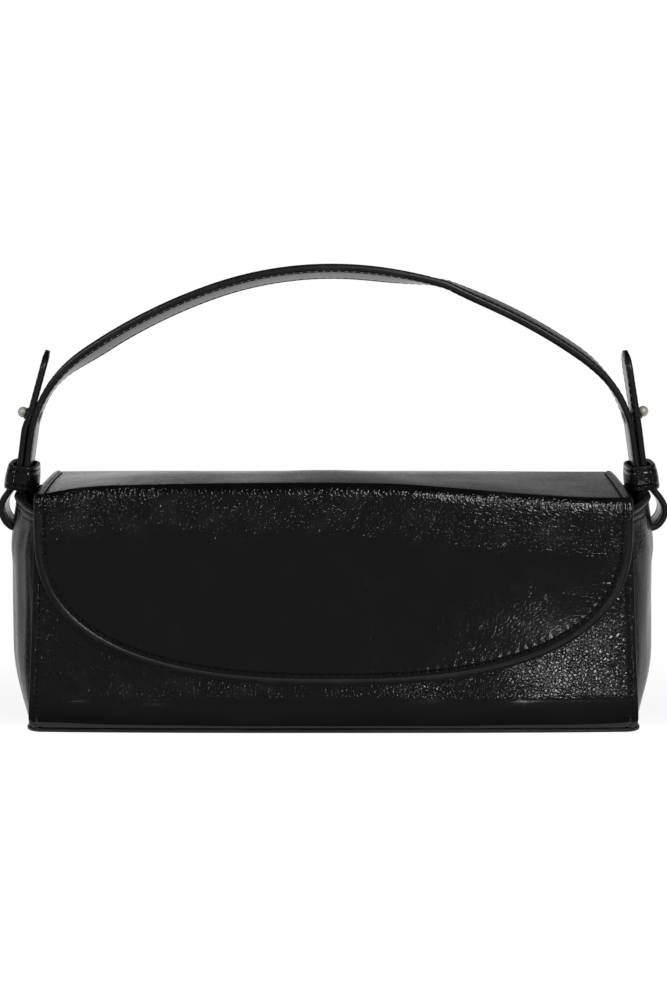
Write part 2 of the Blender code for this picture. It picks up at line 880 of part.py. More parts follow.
def offset_path(points, distance):
    """Moves a path sideways, to the left of its run."""
    moved = []
    for index, point in enumerate(points):
        before = points[max(index - 1, 0)]
        after = points[min(index + 1, len(points) - 1)]
        run = (Vector(after) - Vector(before)).normalized()
        moved.append(Vector(point) + Vector((-run.y, run.x)) * distance)
    return moved


def ribbon(name, path, outward, material, group, widths=None, edge=STRAP_EDGE):
    """Makes a strap piece along a path of X and Z points on its outer face."""

    def rule(u, v):
        index = round(v * (len(path) - 1))
        half = HALF_STRAP if widths is None else widths[index]
        return (path[index][0], (2.0 * u - 1.0) * half, path[index][1])

    obj = surface(name, 1, len(path) - 1, rule, outward, material, group)
    thicken(obj, STRAP_THICKNESS)
    round_edges(obj, edge)
    return obj


def outer_layer(height):
    """Gives the outer face of the second strap layer along the leg."""
    along, heading = leg_point(height)
    return along + (GAP + STRAP_THICKNESS) / math.sin(heading)


def loop_path():
    """Gives the right loop's middle line, down inside the gusset and up outside it."""
    half = STRAP_THICKNESS / 2
    top = SWING_HEIGHT + 2.0 * MM
    over = KEEPER_FOOT + KEEPER_HEIGHT + 1.0 * MM
    into = KEEPER_FOOT + 2.5 * MM
    inside_swing = LOOP_WAIST_HEIGHT - LOOP_SLOT_HEIGHT
    wall = gusset_reach(LOOP_SLOT_HEIGHT) - GUSSET_THICKNESS / 2
    points = [
        (leg_point(top)[0] - half, top),
        (leg_point(over)[0] - half, over),
        (leg_point(into)[0] - half, into),
        (LOOP_INSIDE_REACH + 0.25 * MM, LOOP_INSIDE_HEIGHT + 5.5 * MM),
        (LOOP_INSIDE_REACH, LOOP_INSIDE_HEIGHT),
        (LOOP_INSIDE_REACH + 1.6 * MM, LOOP_SLOT_HEIGHT + 0.32 * inside_swing),
        (wall - 0.6 * MM, LOOP_SLOT_HEIGHT - 0.1 * MM),
        (LOOP_REACH - 1.8 * MM, LOOP_SLOT_HEIGHT + 0.30 * inside_swing),
        (LOOP_REACH, LOOP_WAIST_HEIGHT),
        (LOOP_REACH - 1.7 * MM, LOOP_WAIST_HEIGHT + 5.8 * MM),
        (outer_layer(into) + 1.35 * MM, into - 0.5 * MM),
        (outer_layer(over) - half + 1.1 * MM, over - 6.0 * MM),
        (outer_layer(over) - half, over),
        (outer_layer(top) - half, top),
    ]
    return smooth_path(points, 3)


def strap_loop(material, group, tools):
    """Makes the right strap loop, cut round where the handle swings."""
    path = offset_path(loop_path(), -STRAP_THICKNESS / 2)
    obj = ribbon("right_strap_loop", path, (0.0, 0.0, -1.0), material, group)
    cut(obj, tools["loop_bite"])
    cut(obj, tools["loop_trim"])
    return obj


def handle_strap(material, group):
    """Makes the arched strap between the swing axes."""
    right = arch_path(SWING_HEIGHT - HALF_STRAP - 1.0 * MM)
    left = [(-along, height) for along, height, heading in reversed(right)]
    path = left[:-1] + [(along, height) for along, height, heading in right]
    return ribbon("handle_strap", path, (0.0, 0.0, 1.0), material, group)


def tail_base(material, group, tools):
    """Makes the outer strap layer between the loop and the tail's bend."""
    low = SWING_HEIGHT - HALF_STRAP - 1.0 * MM
    high = SWING_HEIGHT + 0.5 * MM
    path = []
    steps = 4
    for step in range(steps + 1):
        height = high + (low - high) * step / steps
        path.append((outer_layer(height), height))
    obj = ribbon("right_tail_base", path, (1.0, 0.0, 0.0), material, group)
    cut(obj, tools["leg_trim"])
    return obj


def tail_bend():
    """Gives the point of the tail's bend on its outer face."""
    height = SWING_HEIGHT + 0.5 * MM + GAP
    return outer_layer(height), height


def tail_lean():
    """Gives the tail's lean, which is at most the lean of the strap that it lies against."""
    bend_height = tail_bend()[1]
    closing = leg_point(bend_height)[0] - leg_point(STUD_HEIGHT)[0]
    return min(TAIL_LEAN, math.atan2(closing, STUD_HEIGHT - bend_height))


def strap_tail(material, group):
    """Makes the right tail with its pointed tip."""
    start_along, start_height = tail_bend()
    start_height += GAP
    lean = tail_lean()
    length = (TAIL_TIP_HEIGHT - start_height) / math.cos(lean)
    straight = length - TAIL_POINT
    path = []
    widths = []
    for step in range(5):
        path.append(straight * step / 4)
        widths.append(HALF_STRAP)
    points = 5
    for step in range(1, points + 1):
        share = math.sin(step / points * math.asin(TAIL_POINT_FLAT))
        path.append(straight + TAIL_POINT * share)
        widths.append(HALF_STRAP * (1.0 - share**TAIL_POINT_POWER) ** (1.0 / TAIL_POINT_POWER))
    run = [
        (start_along - along * math.sin(lean), start_height + along * math.cos(lean))
        for along in path
    ]
    return ribbon("right_strap_tail", run, (1.0, 0.0, 0.0), material, group, widths, TAIL_EDGE)


# Keepers, studs and snap


def keeper(material, group):
    """Makes the right keeper, a tilted ring round both strap layers."""
    inner = rounded_rectangle(KEEPER_ROOM / 2, HALF_STRAP + KEEPER_CLEARANCE, KEEPER_CORNER - KEEPER_WALL)
    work = bmesh.new()
    corners = [work.verts.new((x, y, -KEEPER_HEIGHT / 2)) for x, y in inner]
    edges = [work.edges.new((corners[i - 1], corners[i])) for i in range(len(corners))]
    raised = bmesh.ops.extrude_edge_only(work, edges=edges)["geom"]
    tops = [item for item in raised if isinstance(item, bmesh.types.BMVert)]
    bmesh.ops.translate(work, verts=tops, vec=(0.0, 0.0, KEEPER_HEIGHT))
    work.normal_update()
    first = work.faces[:][0]
    if first.normal.dot(first.calc_center_median() * Vector((1.0, 1.0, 0.0))) > 0.0:
        bmesh.ops.reverse_faces(work, faces=work.faces[:])
    middle = KEEPER_FOOT + KEEPER_HEIGHT / 2
    along = leg_point(middle)[0] + KEEPER_OFFSET
    turn = Matrix.Translation((along, 0.0, middle)) @ Matrix.Rotation(-KEEPER_TILT, 4, "Y")
    bmesh.ops.transform(work, matrix=turn, verts=work.verts[:])
    mesh = bpy.data.meshes.new("right_keeper")
    work.to_mesh(mesh)
    work.free()
    obj = part_object("right_keeper", mesh, material, group)
    thicken(obj, KEEPER_WALL)
    round_edges(obj, 0.4 * MM, 1)
    return obj


def stud_place():
    """Gives the right stud's foot on the handle's outer face and its outward turn."""
    along, heading = leg_point(STUD_HEIGHT)
    lean = math.pi / 2 - heading
    outward = Vector((math.cos(lean), 0.0, math.sin(lean)))
    return Vector((along, 0.0, STUD_HEIGHT)), outward


def stud_length():
    """Gives the distance from the handle's outer face to the ball's centre."""
    foot, outward = stud_place()
    bend_along, bend_height = tail_bend()
    tail_along = bend_along - (STUD_HEIGHT - bend_height) * math.tan(tail_lean())
    return (tail_along - foot.x) / outward.x + STUD_STANDOFF


def stand_on(obj, point, direction):
    """Points an object's Z axis along a direction from a point."""
    obj.rotation_mode = "QUATERNION"
    obj.rotation_quaternion = Vector(direction).to_track_quat("Z", "Y")
    obj.location = Vector(point)


def ball_stud(material, group):
    """Makes the right ball stud with its threaded bore open at the foot."""
    foot, outward = stud_place()
    centre = stud_length()
    sink = STRAP_THICKNESS
    profile = [(0.0, centre + STUD_BALL_RADIUS)]
    join = math.asin(STUD_NECK_RADIUS / STUD_BALL_RADIUS)
    steps = 9
    for step in range(1, steps + 1):
        angle = (math.pi - join) * step / steps
        profile.append(
            (STUD_BALL_RADIUS * math.sin(angle), centre + STUD_BALL_RADIUS * math.cos(angle))
        )
    bore_top = 1.5 * MM
    profile.append((STUD_NECK_RADIUS, -sink))
    profile.append((STUD_BORE_RADIUS, -sink))
    profile.append((STUD_BORE_RADIUS, bore_top))
    profile.append((0.0, bore_top))
    obj = turned("right_stud", profile, 20, material, group)
    stand_on(obj, foot, outward)
    return obj


def stud_screw(material, group, tools):
    """Makes the slotted screw that holds the right stud from inside the handle."""
    foot, outward = stud_place()
    face = -STRAP_THICKNESS - GAP
    shank = STUD_BORE_RADIUS - GAP
    profile = [
        (0.0, 0.9 * MM),
        (shank, 0.9 * MM),
        (shank, face),
        (SCREW_HEAD_RADIUS, face),
        (SCREW_HEAD_RADIUS, face - 0.4 * SCREW_HEAD_HEIGHT),
        (0.75 * SCREW_HEAD_RADIUS, face - 0.85 * SCREW_HEAD_HEIGHT),
        (0.0, face - SCREW_HEAD_HEIGHT),
    ]
    obj = turned("right_stud_screw", profile, 20, material, group)
    stand_on(obj, foot, outward)
    low = (-SCREW_HEAD_RADIUS * 1.3, -SCREW_SLOT_WIDTH / 2, face - 2.0 * SCREW_HEAD_HEIGHT)
    high = (SCREW_HEAD_RADIUS * 1.3, SCREW_SLOT_WIDTH / 2, face - SCREW_HEAD_HEIGHT + SCREW_SLOT_DEPTH)
    slot = as_cutter(box_solid("cut_screw_slot", low, high, material, tools))
    stand_on(slot, foot, outward)
    cut(obj, slot)
    return obj



def snap_pieces(metal, group):
    """Makes the socket, magnet and washer on the panel and the stud on the flap."""
    face = -front_depth(SNAP_HEIGHT)
    inwards = Vector((0.0, 1.0, 0.0))
    depth = PANEL_THICKNESS
    cup = [
        (SNAP_BORE_RADIUS, depth),
        (SNAP_BORE_RADIUS, 0.0),
        (SNAP_RADIUS, 0.0),
        (SNAP_RADIUS, depth),
        (SNAP_RADIUS - SNAP_SOCKET_WALL, depth),
        (SNAP_RADIUS - SNAP_SOCKET_WALL, SNAP_SOCKET_WALL),
        (SNAP_BORE_RADIUS + SNAP_SOCKET_WALL, SNAP_SOCKET_WALL),
        (SNAP_BORE_RADIUS + SNAP_SOCKET_WALL, depth),
    ]
    cup.reverse()
    socket = turned("snap_socket", cup, 28, metal["nickel"], group, True)
    stand_on(socket, (0.0, face, SNAP_HEIGHT), inwards)
    inner = SNAP_BORE_RADIUS + SNAP_SOCKET_WALL + GAP
    outer = SNAP_RADIUS - SNAP_SOCKET_WALL - GAP
    low = SNAP_SOCKET_WALL + GAP
    ring = [(inner, low), (inner, depth), (outer, depth), (outer, low)]
    magnet = turned("snap_magnet", ring, 28, metal["board"], group, True)
    stand_on(magnet, (0.0, face, SNAP_HEIGHT), inwards)
    back = depth + GAP
    plate = [
        (SNAP_BORE_RADIUS, back),
        (SNAP_BORE_RADIUS, back + SNAP_WASHER_THICKNESS),
        (SNAP_WASHER_RADIUS, back + SNAP_WASHER_THICKNESS),
        (SNAP_WASHER_RADIUS, back),
    ]
    washer = turned("snap_washer", plate, 28, metal["nickel"], group, True)
    stand_on(washer, (0.0, face, SNAP_HEIGHT), inwards)
    flap_back = face - GAP
    disc = [
        (0.0, SNAP_NUB_HEIGHT + GAP),
        (0.6 * SNAP_NUB_RADIUS, SNAP_NUB_HEIGHT + GAP),
        (SNAP_NUB_RADIUS, 0.0),
        (SNAP_RADIUS, 0.0),
        (SNAP_RADIUS, -SNAP_DISC_THICKNESS),
        (0.0, -SNAP_DISC_THICKNESS),
    ]
    stud = turned("snap_stud", disc, 28, metal["nickel"], group)
    stand_on(stud, (0.0, flap_back, SNAP_HEIGHT), inwards)
    return socket, magnet, washer, stud


# Cutters


def make_cutters(material, group):
    """Makes the cutters that several pieces share."""
    reach = GUSSET_REACH + 30.0 * MM
    inner = 0.6 * GUSSET_REACH
    tools = {}
    axis_low = (-reach, 0.0, SWING_HEIGHT)
    axis_high = (reach, 0.0, SWING_HEIGHT)
    bite = rod("cut_loop_bite", axis_low, axis_high, HALF_STRAP + GAP, 48, material, group)
    tools["loop_bite"] = as_cutter(bite)
    trim = box_solid(
        "cut_loop_trim",
        (-reach, -2.0 * STRAP_WIDTH, SWING_HEIGHT - SWING_TRIM),
        (reach, 2.0 * STRAP_WIDTH, SWING_HEIGHT + 3.0 * STRAP_WIDTH),
        material,
        group,
    )
    tools["loop_trim"] = as_cutter(trim)
    leg = box_solid(
        "cut_leg_trim",
        (-reach, -2.0 * STRAP_WIDTH, SWING_HEIGHT - 3.0 * STRAP_WIDTH),
        (reach, 2.0 * STRAP_WIDTH, SWING_HEIGHT),
        material,
        group,
    )
    disc = rod("cut_leg_disc", axis_low, axis_high, HALF_STRAP, 48, material, group)
    disc.data.transform(Matrix.Scale(1.1, 4, Vector((1.0, 0.0, 0.0))))
    as_cutter(disc)
    cut(leg, disc)
    tools["leg_trim"] = as_cutter(leg)
    slot_half = HALF_STRAP + SLOT_CLEARANCE
    slot_rise = STRAP_THICKNESS / 2 + SLOT_CLEARANCE
    slot = box_solid(
        "cut_slot",
        (inner, -slot_half, LOOP_SLOT_HEIGHT - slot_rise),
        (reach, slot_half, LOOP_SLOT_HEIGHT + slot_rise + SLOT_RISE),
        material,
        group,
    )
    tools["slot"] = as_cutter(slot)
    foot, outward = stud_place()
    neck = rod(
        "cut_stud_neck",
        foot - outward * 3.0 * STRAP_THICKNESS,
        foot + outward * 0.5 * STRAP_THICKNESS,
        STUD_NECK_RADIUS + GAP,
        20,
        material,
        group,
    )
    tools["neck"] = as_cutter(neck)
    button = rod(
        "cut_tail_hole",
        foot - outward * STRAP_THICKNESS,
        foot + outward * 6.0 * STRAP_THICKNESS,
        STUD_BALL_RADIUS + TAIL_HOLE_CLEARANCE,
        24,
        material,
        group,
    )
    tools["button"] = as_cutter(button)
    slit = box_solid(
        "cut_tail_slit",
        (foot.x, -TAIL_SLIT_WIDTH / 2, STUD_HEIGHT),
        (reach, TAIL_SLIT_WIDTH / 2, STUD_HEIGHT + STUD_BALL_RADIUS + TAIL_SLIT_LENGTH),
        material,
        group,
    )
    tools["slit"] = as_cutter(slit)
    return tools


def mirrored_cutter(obj, group):
    """Copies a cutter to the left side."""
    return as_cutter(mirrored(obj, obj.name + "_left", group))


# Whole bag


def build():
    """Builds the bag."""
    clear_scene()
    parts = new_collection("flap_top_handle_bag")
    cutters = new_collection("cutters")
    patent = finish("patent_leather", LEATHER, 0.18)
    strap_finish = finish("strap_patent_leather", STRAP_LEATHER, 0.22)
    edge = finish("painted_edge", EDGE_PAINT, 0.45)
    stiff = finish("stiffener_board", BOARD_GREY, 0.9)
    cloth = finish("lining_cloth", LINING_BLACK, 0.85)
    brass = finish("pale_brass", PALE_BRASS, 0.25, 1.0)
    nickel = finish("nickel", NICKEL, 0.3, 1.0)
    tools = make_cutters(edge, cutters)

    panel("front_panel", front_depth, -1.0, FRONT_PANEL_TOP, patent, parts)
    panel("back_panel", back_depth, 1.0, BACK_PANEL_TOP, patent, parts)
    base_panel(patent, parts)
    base_board(stiff, parts)
    board("front_board", front_depth, -1.0, FRONT_PANEL_TOP, stiff, parts)
    board("back_board", back_depth, 1.0, BACK_PANEL_TOP, stiff, parts)
    body_lining(cloth, parts)
    inner_pocket(cloth, parts, cutters)

    side = gusset(patent, parts)
    cut(side, tools["slot"])
    patch = slot_patch(patent, parts)
    cut(patch, tools["slot"])
    binding = gusset_binding(edge, parts)
    inside = gusset_lining(cloth, parts)
    loop = strap_loop(strap_finish, parts, tools)
    right_pieces = [side, patch, binding, inside, loop]

    left_slot = mirrored_cutter(tools["slot"], cutters)
    for obj in right_pieces:
        twin = mirrored(obj, obj.name.replace("right_", "left_"), parts)
        for modifier in twin.modifiers:
            if modifier.type == "BOOLEAN" and modifier.object == tools["slot"]:
                modifier.object = left_slot

    ring = keeper(strap_finish, parts)
    left_ring = mirrored(ring, "left_keeper", parts)
    middle = KEEPER_FOOT + KEEPER_HEIGHT / 2
    ring_along = leg_point(middle)[0] + KEEPER_OFFSET
    set_origin(ring, (ring_along, 0.0, middle))
    set_origin(left_ring, (-ring_along, 0.0, middle))

    back_pivot = pivot("flap_top_pivot", (0.0, BACK_RIDGE_DEPTH, FLAP_TOP_HEIGHT), parts)
    front_axis = (0.0, -fold_centre_depth(), FLAP_TOP_HEIGHT + FLAP_CROWN)
    front_pivot = pivot("flap_front_pivot", front_axis, parts, back_pivot)
    lining_inset = FLAP_LEATHER + GAP
    top = flap_top_sheet("flap_top", 0.0, FLAP_LEATHER, 0.0, patent, parts)
    top_lining = flap_top_sheet(
        "flap_top_lining", lining_inset, FLAP_LINING, FLAP_LINING_INSET, cloth, parts
    )
    drop = flap_front_sheet("flap_front", 0.0, FLAP_LEATHER, 0.0, patent, parts)
    drop_lining = flap_front_sheet(
        "flap_front_lining", lining_inset, FLAP_LINING, FLAP_LINING_INSET, cloth, parts
    )
    socket, magnet, washer, stud = snap_pieces({"nickel": nickel, "board": stiff}, parts)
    face = front_depth(SNAP_HEIGHT)
    seat = rod(
        "cut_snap_seat",
        (0.0, -face + PANEL_THICKNESS + BOARD_THICKNESS + 3.0 * GAP, SNAP_HEIGHT),
        (0.0, -face - GAP - FLAP_LINING - GAP / 2, SNAP_HEIGHT),
        SNAP_RADIUS + GAP,
        28,
        nickel,
        cutters,
    )
    as_cutter(seat)
    recess = rod(
        "cut_washer_seat",
        (0.0, -face + PANEL_THICKNESS + GAP / 2, SNAP_HEIGHT),
        (0.0, -face + PANEL_THICKNESS + BOARD_THICKNESS + 2.0 * GAP, SNAP_HEIGHT),
        SNAP_WASHER_RADIUS + GAP,
        28,
        nickel,
        cutters,
    )
    as_cutter(recess)
    cut(bpy.data.objects["front_panel"], seat)
    cut(bpy.data.objects["front_board"], recess)
    cut(drop_lining, seat)
    for obj in (top, top_lining):
        carry(obj, back_pivot)
    for obj in (drop, drop_lining, stud):
        carry(obj, front_pivot)

    swing_pivot = pivot("handle_pivot", (0.0, 0.0, SWING_HEIGHT), parts)
    arch = handle_strap(strap_finish, parts)
    left_neck = mirrored_cutter(tools["neck"], cutters)
    cut(arch, tools["neck"])
    cut(arch, left_neck)
    cut(arch, tools["leg_trim"])
    root = tail_base(strap_finish, parts, tools)
    left_root = mirrored(root, "left_tail_base", parts)
    tail = strap_tail(strap_finish, parts)
    left_tail = mirrored(tail, "left_strap_tail", parts)
    cut(tail, tools["button"])
    cut(tail, tools["slit"])
    cut(left_tail, mirrored_cutter(tools["button"], cutters))
    cut(left_tail, mirrored_cutter(tools["slit"], cutters))
    ball = baked(ball_stud(brass, parts))
    left_ball = mirrored(ball, "left_stud", parts)
    screw = baked(stud_screw(brass, parts, cutters))
    left_screw = mirrored(screw, "left_stud_screw", parts)
    for obj in (arch, root, left_root, ball, left_ball, screw, left_screw):
        carry(obj, swing_pivot)
    bend_along, bend_height = tail_bend()
    for obj, along in ((tail, bend_along), (left_tail, -bend_along)):
        name = obj.name.replace("strap_tail", "tail_pivot")
        tail_pivot = pivot(name, (along, 0.0, bend_height), parts, swing_pivot)
        carry(obj, tail_pivot)


build()
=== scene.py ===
"""Dresses the flap-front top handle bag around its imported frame.

Every leather sheet, strap, stitch and metal stud is a mesh made here from named sizes, in
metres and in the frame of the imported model. The leathers carry two surface maps: "skin"
holds the sheet's own coordinates in metres, and "seam" holds the run along the nearest
stitched edge and the distance from that edge.
"""

import sys
import json
import logging
import math
from dataclasses import dataclass, field
from enum import Enum
from typing import Callable, Optional, Sequence, Union

import bmesh
import bpy
import numpy as np
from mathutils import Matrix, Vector


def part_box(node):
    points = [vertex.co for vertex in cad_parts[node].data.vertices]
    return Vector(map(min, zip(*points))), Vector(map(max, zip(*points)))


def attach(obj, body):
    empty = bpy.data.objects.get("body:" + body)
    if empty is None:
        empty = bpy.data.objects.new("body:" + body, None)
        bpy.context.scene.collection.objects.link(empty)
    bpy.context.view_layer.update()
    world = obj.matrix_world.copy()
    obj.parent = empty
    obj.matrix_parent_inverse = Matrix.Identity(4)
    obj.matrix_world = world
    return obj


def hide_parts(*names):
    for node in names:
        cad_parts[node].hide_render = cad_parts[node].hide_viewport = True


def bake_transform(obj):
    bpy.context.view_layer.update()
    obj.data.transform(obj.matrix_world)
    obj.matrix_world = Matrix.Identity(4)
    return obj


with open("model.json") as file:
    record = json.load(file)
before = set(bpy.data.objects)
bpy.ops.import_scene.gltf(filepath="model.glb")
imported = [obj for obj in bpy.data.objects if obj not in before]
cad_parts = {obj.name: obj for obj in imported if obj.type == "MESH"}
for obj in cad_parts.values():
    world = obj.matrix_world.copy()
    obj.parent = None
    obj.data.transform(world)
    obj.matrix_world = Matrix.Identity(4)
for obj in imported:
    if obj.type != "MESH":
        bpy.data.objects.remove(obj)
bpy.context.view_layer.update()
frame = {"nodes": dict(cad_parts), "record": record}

LOG = logging.getLogger("handbag")
MM = 0.001
FRAME_LONG_SIDE = 1000
NO_SEAM = -1.0
Array = np.ndarray
Colour = tuple[float, float, float]


# Numbers and curves


def unit(vectors: Array) -> Array:
    """Gives the vectors at length one."""
    return vectors / np.maximum(np.linalg.norm(vectors, axis=-1, keepdims=True), 1e-12)


def ease(value: Array, low: float, high: float) -> Array:
    """Gives a smooth rise from 0 at low to 1 at high."""
    share = np.clip((np.asarray(value, float) - low) / (high - low), 0.0, 1.0)
    return share * share * (3.0 - 2.0 * share)


def waves(first: Array, second: Array, length: float, seed: int) -> Array:
    """Gives slow waves between about -1 and 1 over two coordinates.

    Args:
        first: One coordinate in metres.
        second: The other coordinate in metres.
        length: The usual length of a wave in metres.
        seed: The number that fixes the waves' directions.

    Returns:
        The height of the waves at each point.
    """
    draws = np.random.default_rng(seed)
    total = np.zeros(np.broadcast(first, second).shape)
    count = 6
    for _ in range(count):
        turn, phase, stretch = draws.uniform((0.0, 0.0, 0.7), (math.pi, 2.0 * math.pi, 1.5))
        along = first * math.cos(turn) + second * math.sin(turn)
        total = total + np.sin(2.0 * math.pi * along / (length * stretch) + phase)
    return total / math.sqrt(count)


def run_lengths(points: Array) -> Array:
    """Gives the distance along a line at each of its points."""
    steps = np.linalg.norm(np.diff(points, axis=0), axis=1)
    return np.concatenate(([0.0], np.cumsum(steps)))


def resample(points: Array, spacing: float) -> Array:
    """Gives evenly spaced points along a line."""
    lengths = run_lengths(points)
    count = max(int(round(lengths[-1] / spacing)), 2) + 1
    marks = np.linspace(0.0, lengths[-1], count)
    return np.stack([np.interp(marks, lengths, points[:, axis]) for axis in range(3)], axis=1)


def soften(points: Array, rounds: int) -> Array:
    """Rounds off the corners of a line and keeps its ends."""
    for _ in range(rounds):
        points = points.copy()
        points[1:-1] = 0.25 * points[:-2] + 0.5 * points[1:-1] + 0.25 * points[2:]
    return points


def through(points: Sequence[tuple[float, float]], steps: int) -> Array:
    """Runs a smooth curve through points of X and Z.

    Args:
        points: The points in metres.
        steps: The number of short steps between two points.

    Returns:
        The points of the curve, with Y at zero.
    """
    knots = np.array(points, float)
    last = len(knots) - 1
    made = []
    for index in range(last):
        before, start = knots[max(index - 1, 0)], knots[index]
        end, after = knots[index + 1], knots[min(index + 2, last)]
        for step in range(steps):
            t = step / steps
            made.append(
                0.5
                * (
                    2.0 * start
                    + (end - before) * t
                    + (2.0 * before - 5.0 * start + 4.0 * end - after) * t**2
                    + (3.0 * start - before - 3.0 * end + after) * t**3
                )
            )
    made.append(knots[last])
    flat = np.array(made)
    return joined(flat[:, 0], 0.0, flat[:, 1])


def circle(count: int) -> Array:
    """Gives evenly spaced angles round a full turn."""
    return np.linspace(0.0, 2.0 * math.pi, count, endpoint=False)


def closed(values: Array) -> Array:
    """Repeats the first column of a grid at its end."""
    return np.concatenate([values, values[:, :1]], axis=1)


def pairs(first: Array, second: Array) -> Array:
    """Gives the grid of pairs of two lists of coordinates."""
    return np.stack(np.meshgrid(first, second), axis=-1)


def joined(*coordinates: Union[Array, float]) -> Array:
    """Joins coordinates of fitting shapes into points."""
    return np.stack(np.broadcast_arrays(*coordinates), axis=-1)


def down_lengths(points: Array) -> Array:
    """Gives the distance down each column of a grid of points."""
    steps = np.linalg.norm(np.diff(points, axis=0), axis=2)
    return np.concatenate([np.zeros((1, points.shape[1])), np.cumsum(steps, axis=0)])


# Meshes


class Skin:
    """Collects the points, faces and surface maps of one mesh."""

    def __init__(self, finishes: Sequence[bpy.types.Material]) -> None:
        """Starts an empty mesh that is dressed with the finishes."""
        self.finishes = list(finishes)
        self.points: list[Array] = []
        self.count = 0
        self.faces: list[Array] = []
        self.skin_map: list[Array] = []
        self.seam_map: list[Array] = []
        self.slots: list[Array] = []

    def slot_of(self, finish: bpy.types.Material) -> int:
        """Gives the place of a finish among the mesh's materials."""
        if finish not in self.finishes:
            self.finishes.append(finish)
        return self.finishes.index(finish)

    def add(self, grid: Array) -> Array:
        """Adds points and gives their numbers in the same arrangement."""
        flat = grid.reshape(-1, 3)
        numbers = np.arange(self.count, self.count + len(flat)).reshape(grid.shape[:-1])
        self.points.append(flat)
        self.count += len(flat)
        return numbers

    def patch(
        self,
        numbers: Array,
        skin: Array,
        seam: Optional[Array],
        finish: bpy.types.Material,
        flip: bool = False,
    ) -> None:
        """Adds the four-sided faces between a grid of points.

        Args:
            numbers: The points' numbers, as rows and columns.
            skin: The sheet's own coordinates at each point.
            seam: The run along the seam and the distance from it, or None.
            finish: The material of the faces.
            flip: Whether the faces look the other way.
        """
        if seam is None:
            seam = np.full(skin.shape, NO_SEAM)
        corners = ((0, 0), (0, 1), (1, 1), (1, 0))
        if flip:
            corners = corners[::-1]
        rows, columns = numbers.shape

        def picked(values: Array) -> Array:
            """Gives the values at the four corners of each face."""
            parts = [values[r : rows - 1 + r, c : columns - 1 + c] for r, c in corners]
            stacked = np.stack(parts, axis=2)
            return stacked.reshape((-1, 4) + values.shape[2:])

        faces = picked(numbers)
        self.faces.append(faces)
        self.skin_map.append(picked(skin))
        self.seam_map.append(picked(seam))
        self.slots.append(np.full(len(faces), self.slot_of(finish)))

    def cap(self, ring: Array, finish: bpy.types.Material, flip: bool = False) -> None:
        """Closes a ring of an even number of points with four-sided faces to its middle.

        Args:
            ring: The numbers of the ring's points.
            finish: The material of the faces.
            flip: Whether the faces look the other way.
        """
        centre = self.add(np.concatenate(self.points)[ring].mean(axis=0)[None])[0]
        slot = self.slot_of(finish)
        for index in range(0, len(ring), 2):
            corners = [centre, ring[index], ring[index + 1], ring[(index + 2) % len(ring)]]
            if flip:
                corners = corners[::-1]
            self.faces.append(np.array([corners]))
            self.skin_map.append(np.zeros((1, 4, 2)))
            self.seam_map.append(np.full((1, 4, 2), NO_SEAM))
            self.slots.append(np.array([slot]))

    def build(self, name: str) -> bpy.types.Object:
        """Makes the object.

        Args:
            name: The piece's name.

        Returns:
            The smooth-shaded object, linked to the scene.
        """
        mesh = bpy.data.meshes.new(name)
        points = np.concatenate(self.points)
        faces = np.concatenate(self.faces)
        mesh.from_pydata(points.tolist(), [], faces.tolist())
        for title, values in (("skin", self.skin_map), ("seam", self.seam_map)):
            layer = mesh.uv_layers.new(name=title)
            layer.data.foreach_set("uv", np.concatenate(values).astype(np.float32).ravel())
        mesh.polygons.foreach_set("material_index", np.concatenate(self.slots).astype(np.int32))
        for finish in self.finishes:
            mesh.materials.append(finish)
        mesh.validate()
        smooth_mesh(mesh)
        return new_object(name, mesh)


def new_object(name: str, data: bpy.types.ID) -> bpy.types.Object:
    """Makes an object in the scene."""
    obj = bpy.data.objects.new(name, data)
    bpy.context.scene.collection.objects.link(obj)
    return obj


def smooth_mesh(mesh: bpy.types.Mesh) -> None:
    """Shades a mesh smooth up to its sharp corners."""
    mesh.shade_smooth()
    mesh.set_sharp_from_angle(angle=math.radians(52.0))
    mesh.update()


def grid_normals(grid: Array, side: float) -> Array:
    """Gives the normals of a grid of points, on the side that the sign picks."""
    across = np.gradient(grid, axis=1)
    down = np.gradient(grid, axis=0)
    return side * unit(np.cross(across, down))


def border(values: Array) -> Array:
    """Gives the values round the rim of a grid, as one closed line without a repeat."""
    return np.concatenate([values[0, :-1], values[:-1, -1], values[-1, :0:-1], values[:0:-1, 0]])


@dataclass(frozen=True)
class Rim:
    """How the edge of a leather sheet is rounded.

    Attributes:
        reach: How far the rounding stands out from the sheet's flat face.
        steps: The number of facets round the edge.
        flat_first: Whether the edge along the grid's first row is cut flat.
        flat_last: Whether the edge along the grid's last row is cut flat.
    """

    reach: float
    steps: int = 6
    flat_first: bool = False
    flat_last: bool = False


@dataclass(frozen=True)
class SheetFinish:
    """The materials of a sheet's face, rim and back."""

    face: bpy.types.Material
    rim: bpy.types.Material
    back: bpy.types.Material

    def skin(self) -> Skin:
        """Starts a mesh that is dressed with the materials."""
        return Skin(list(dict.fromkeys((self.face, self.rim, self.back))))


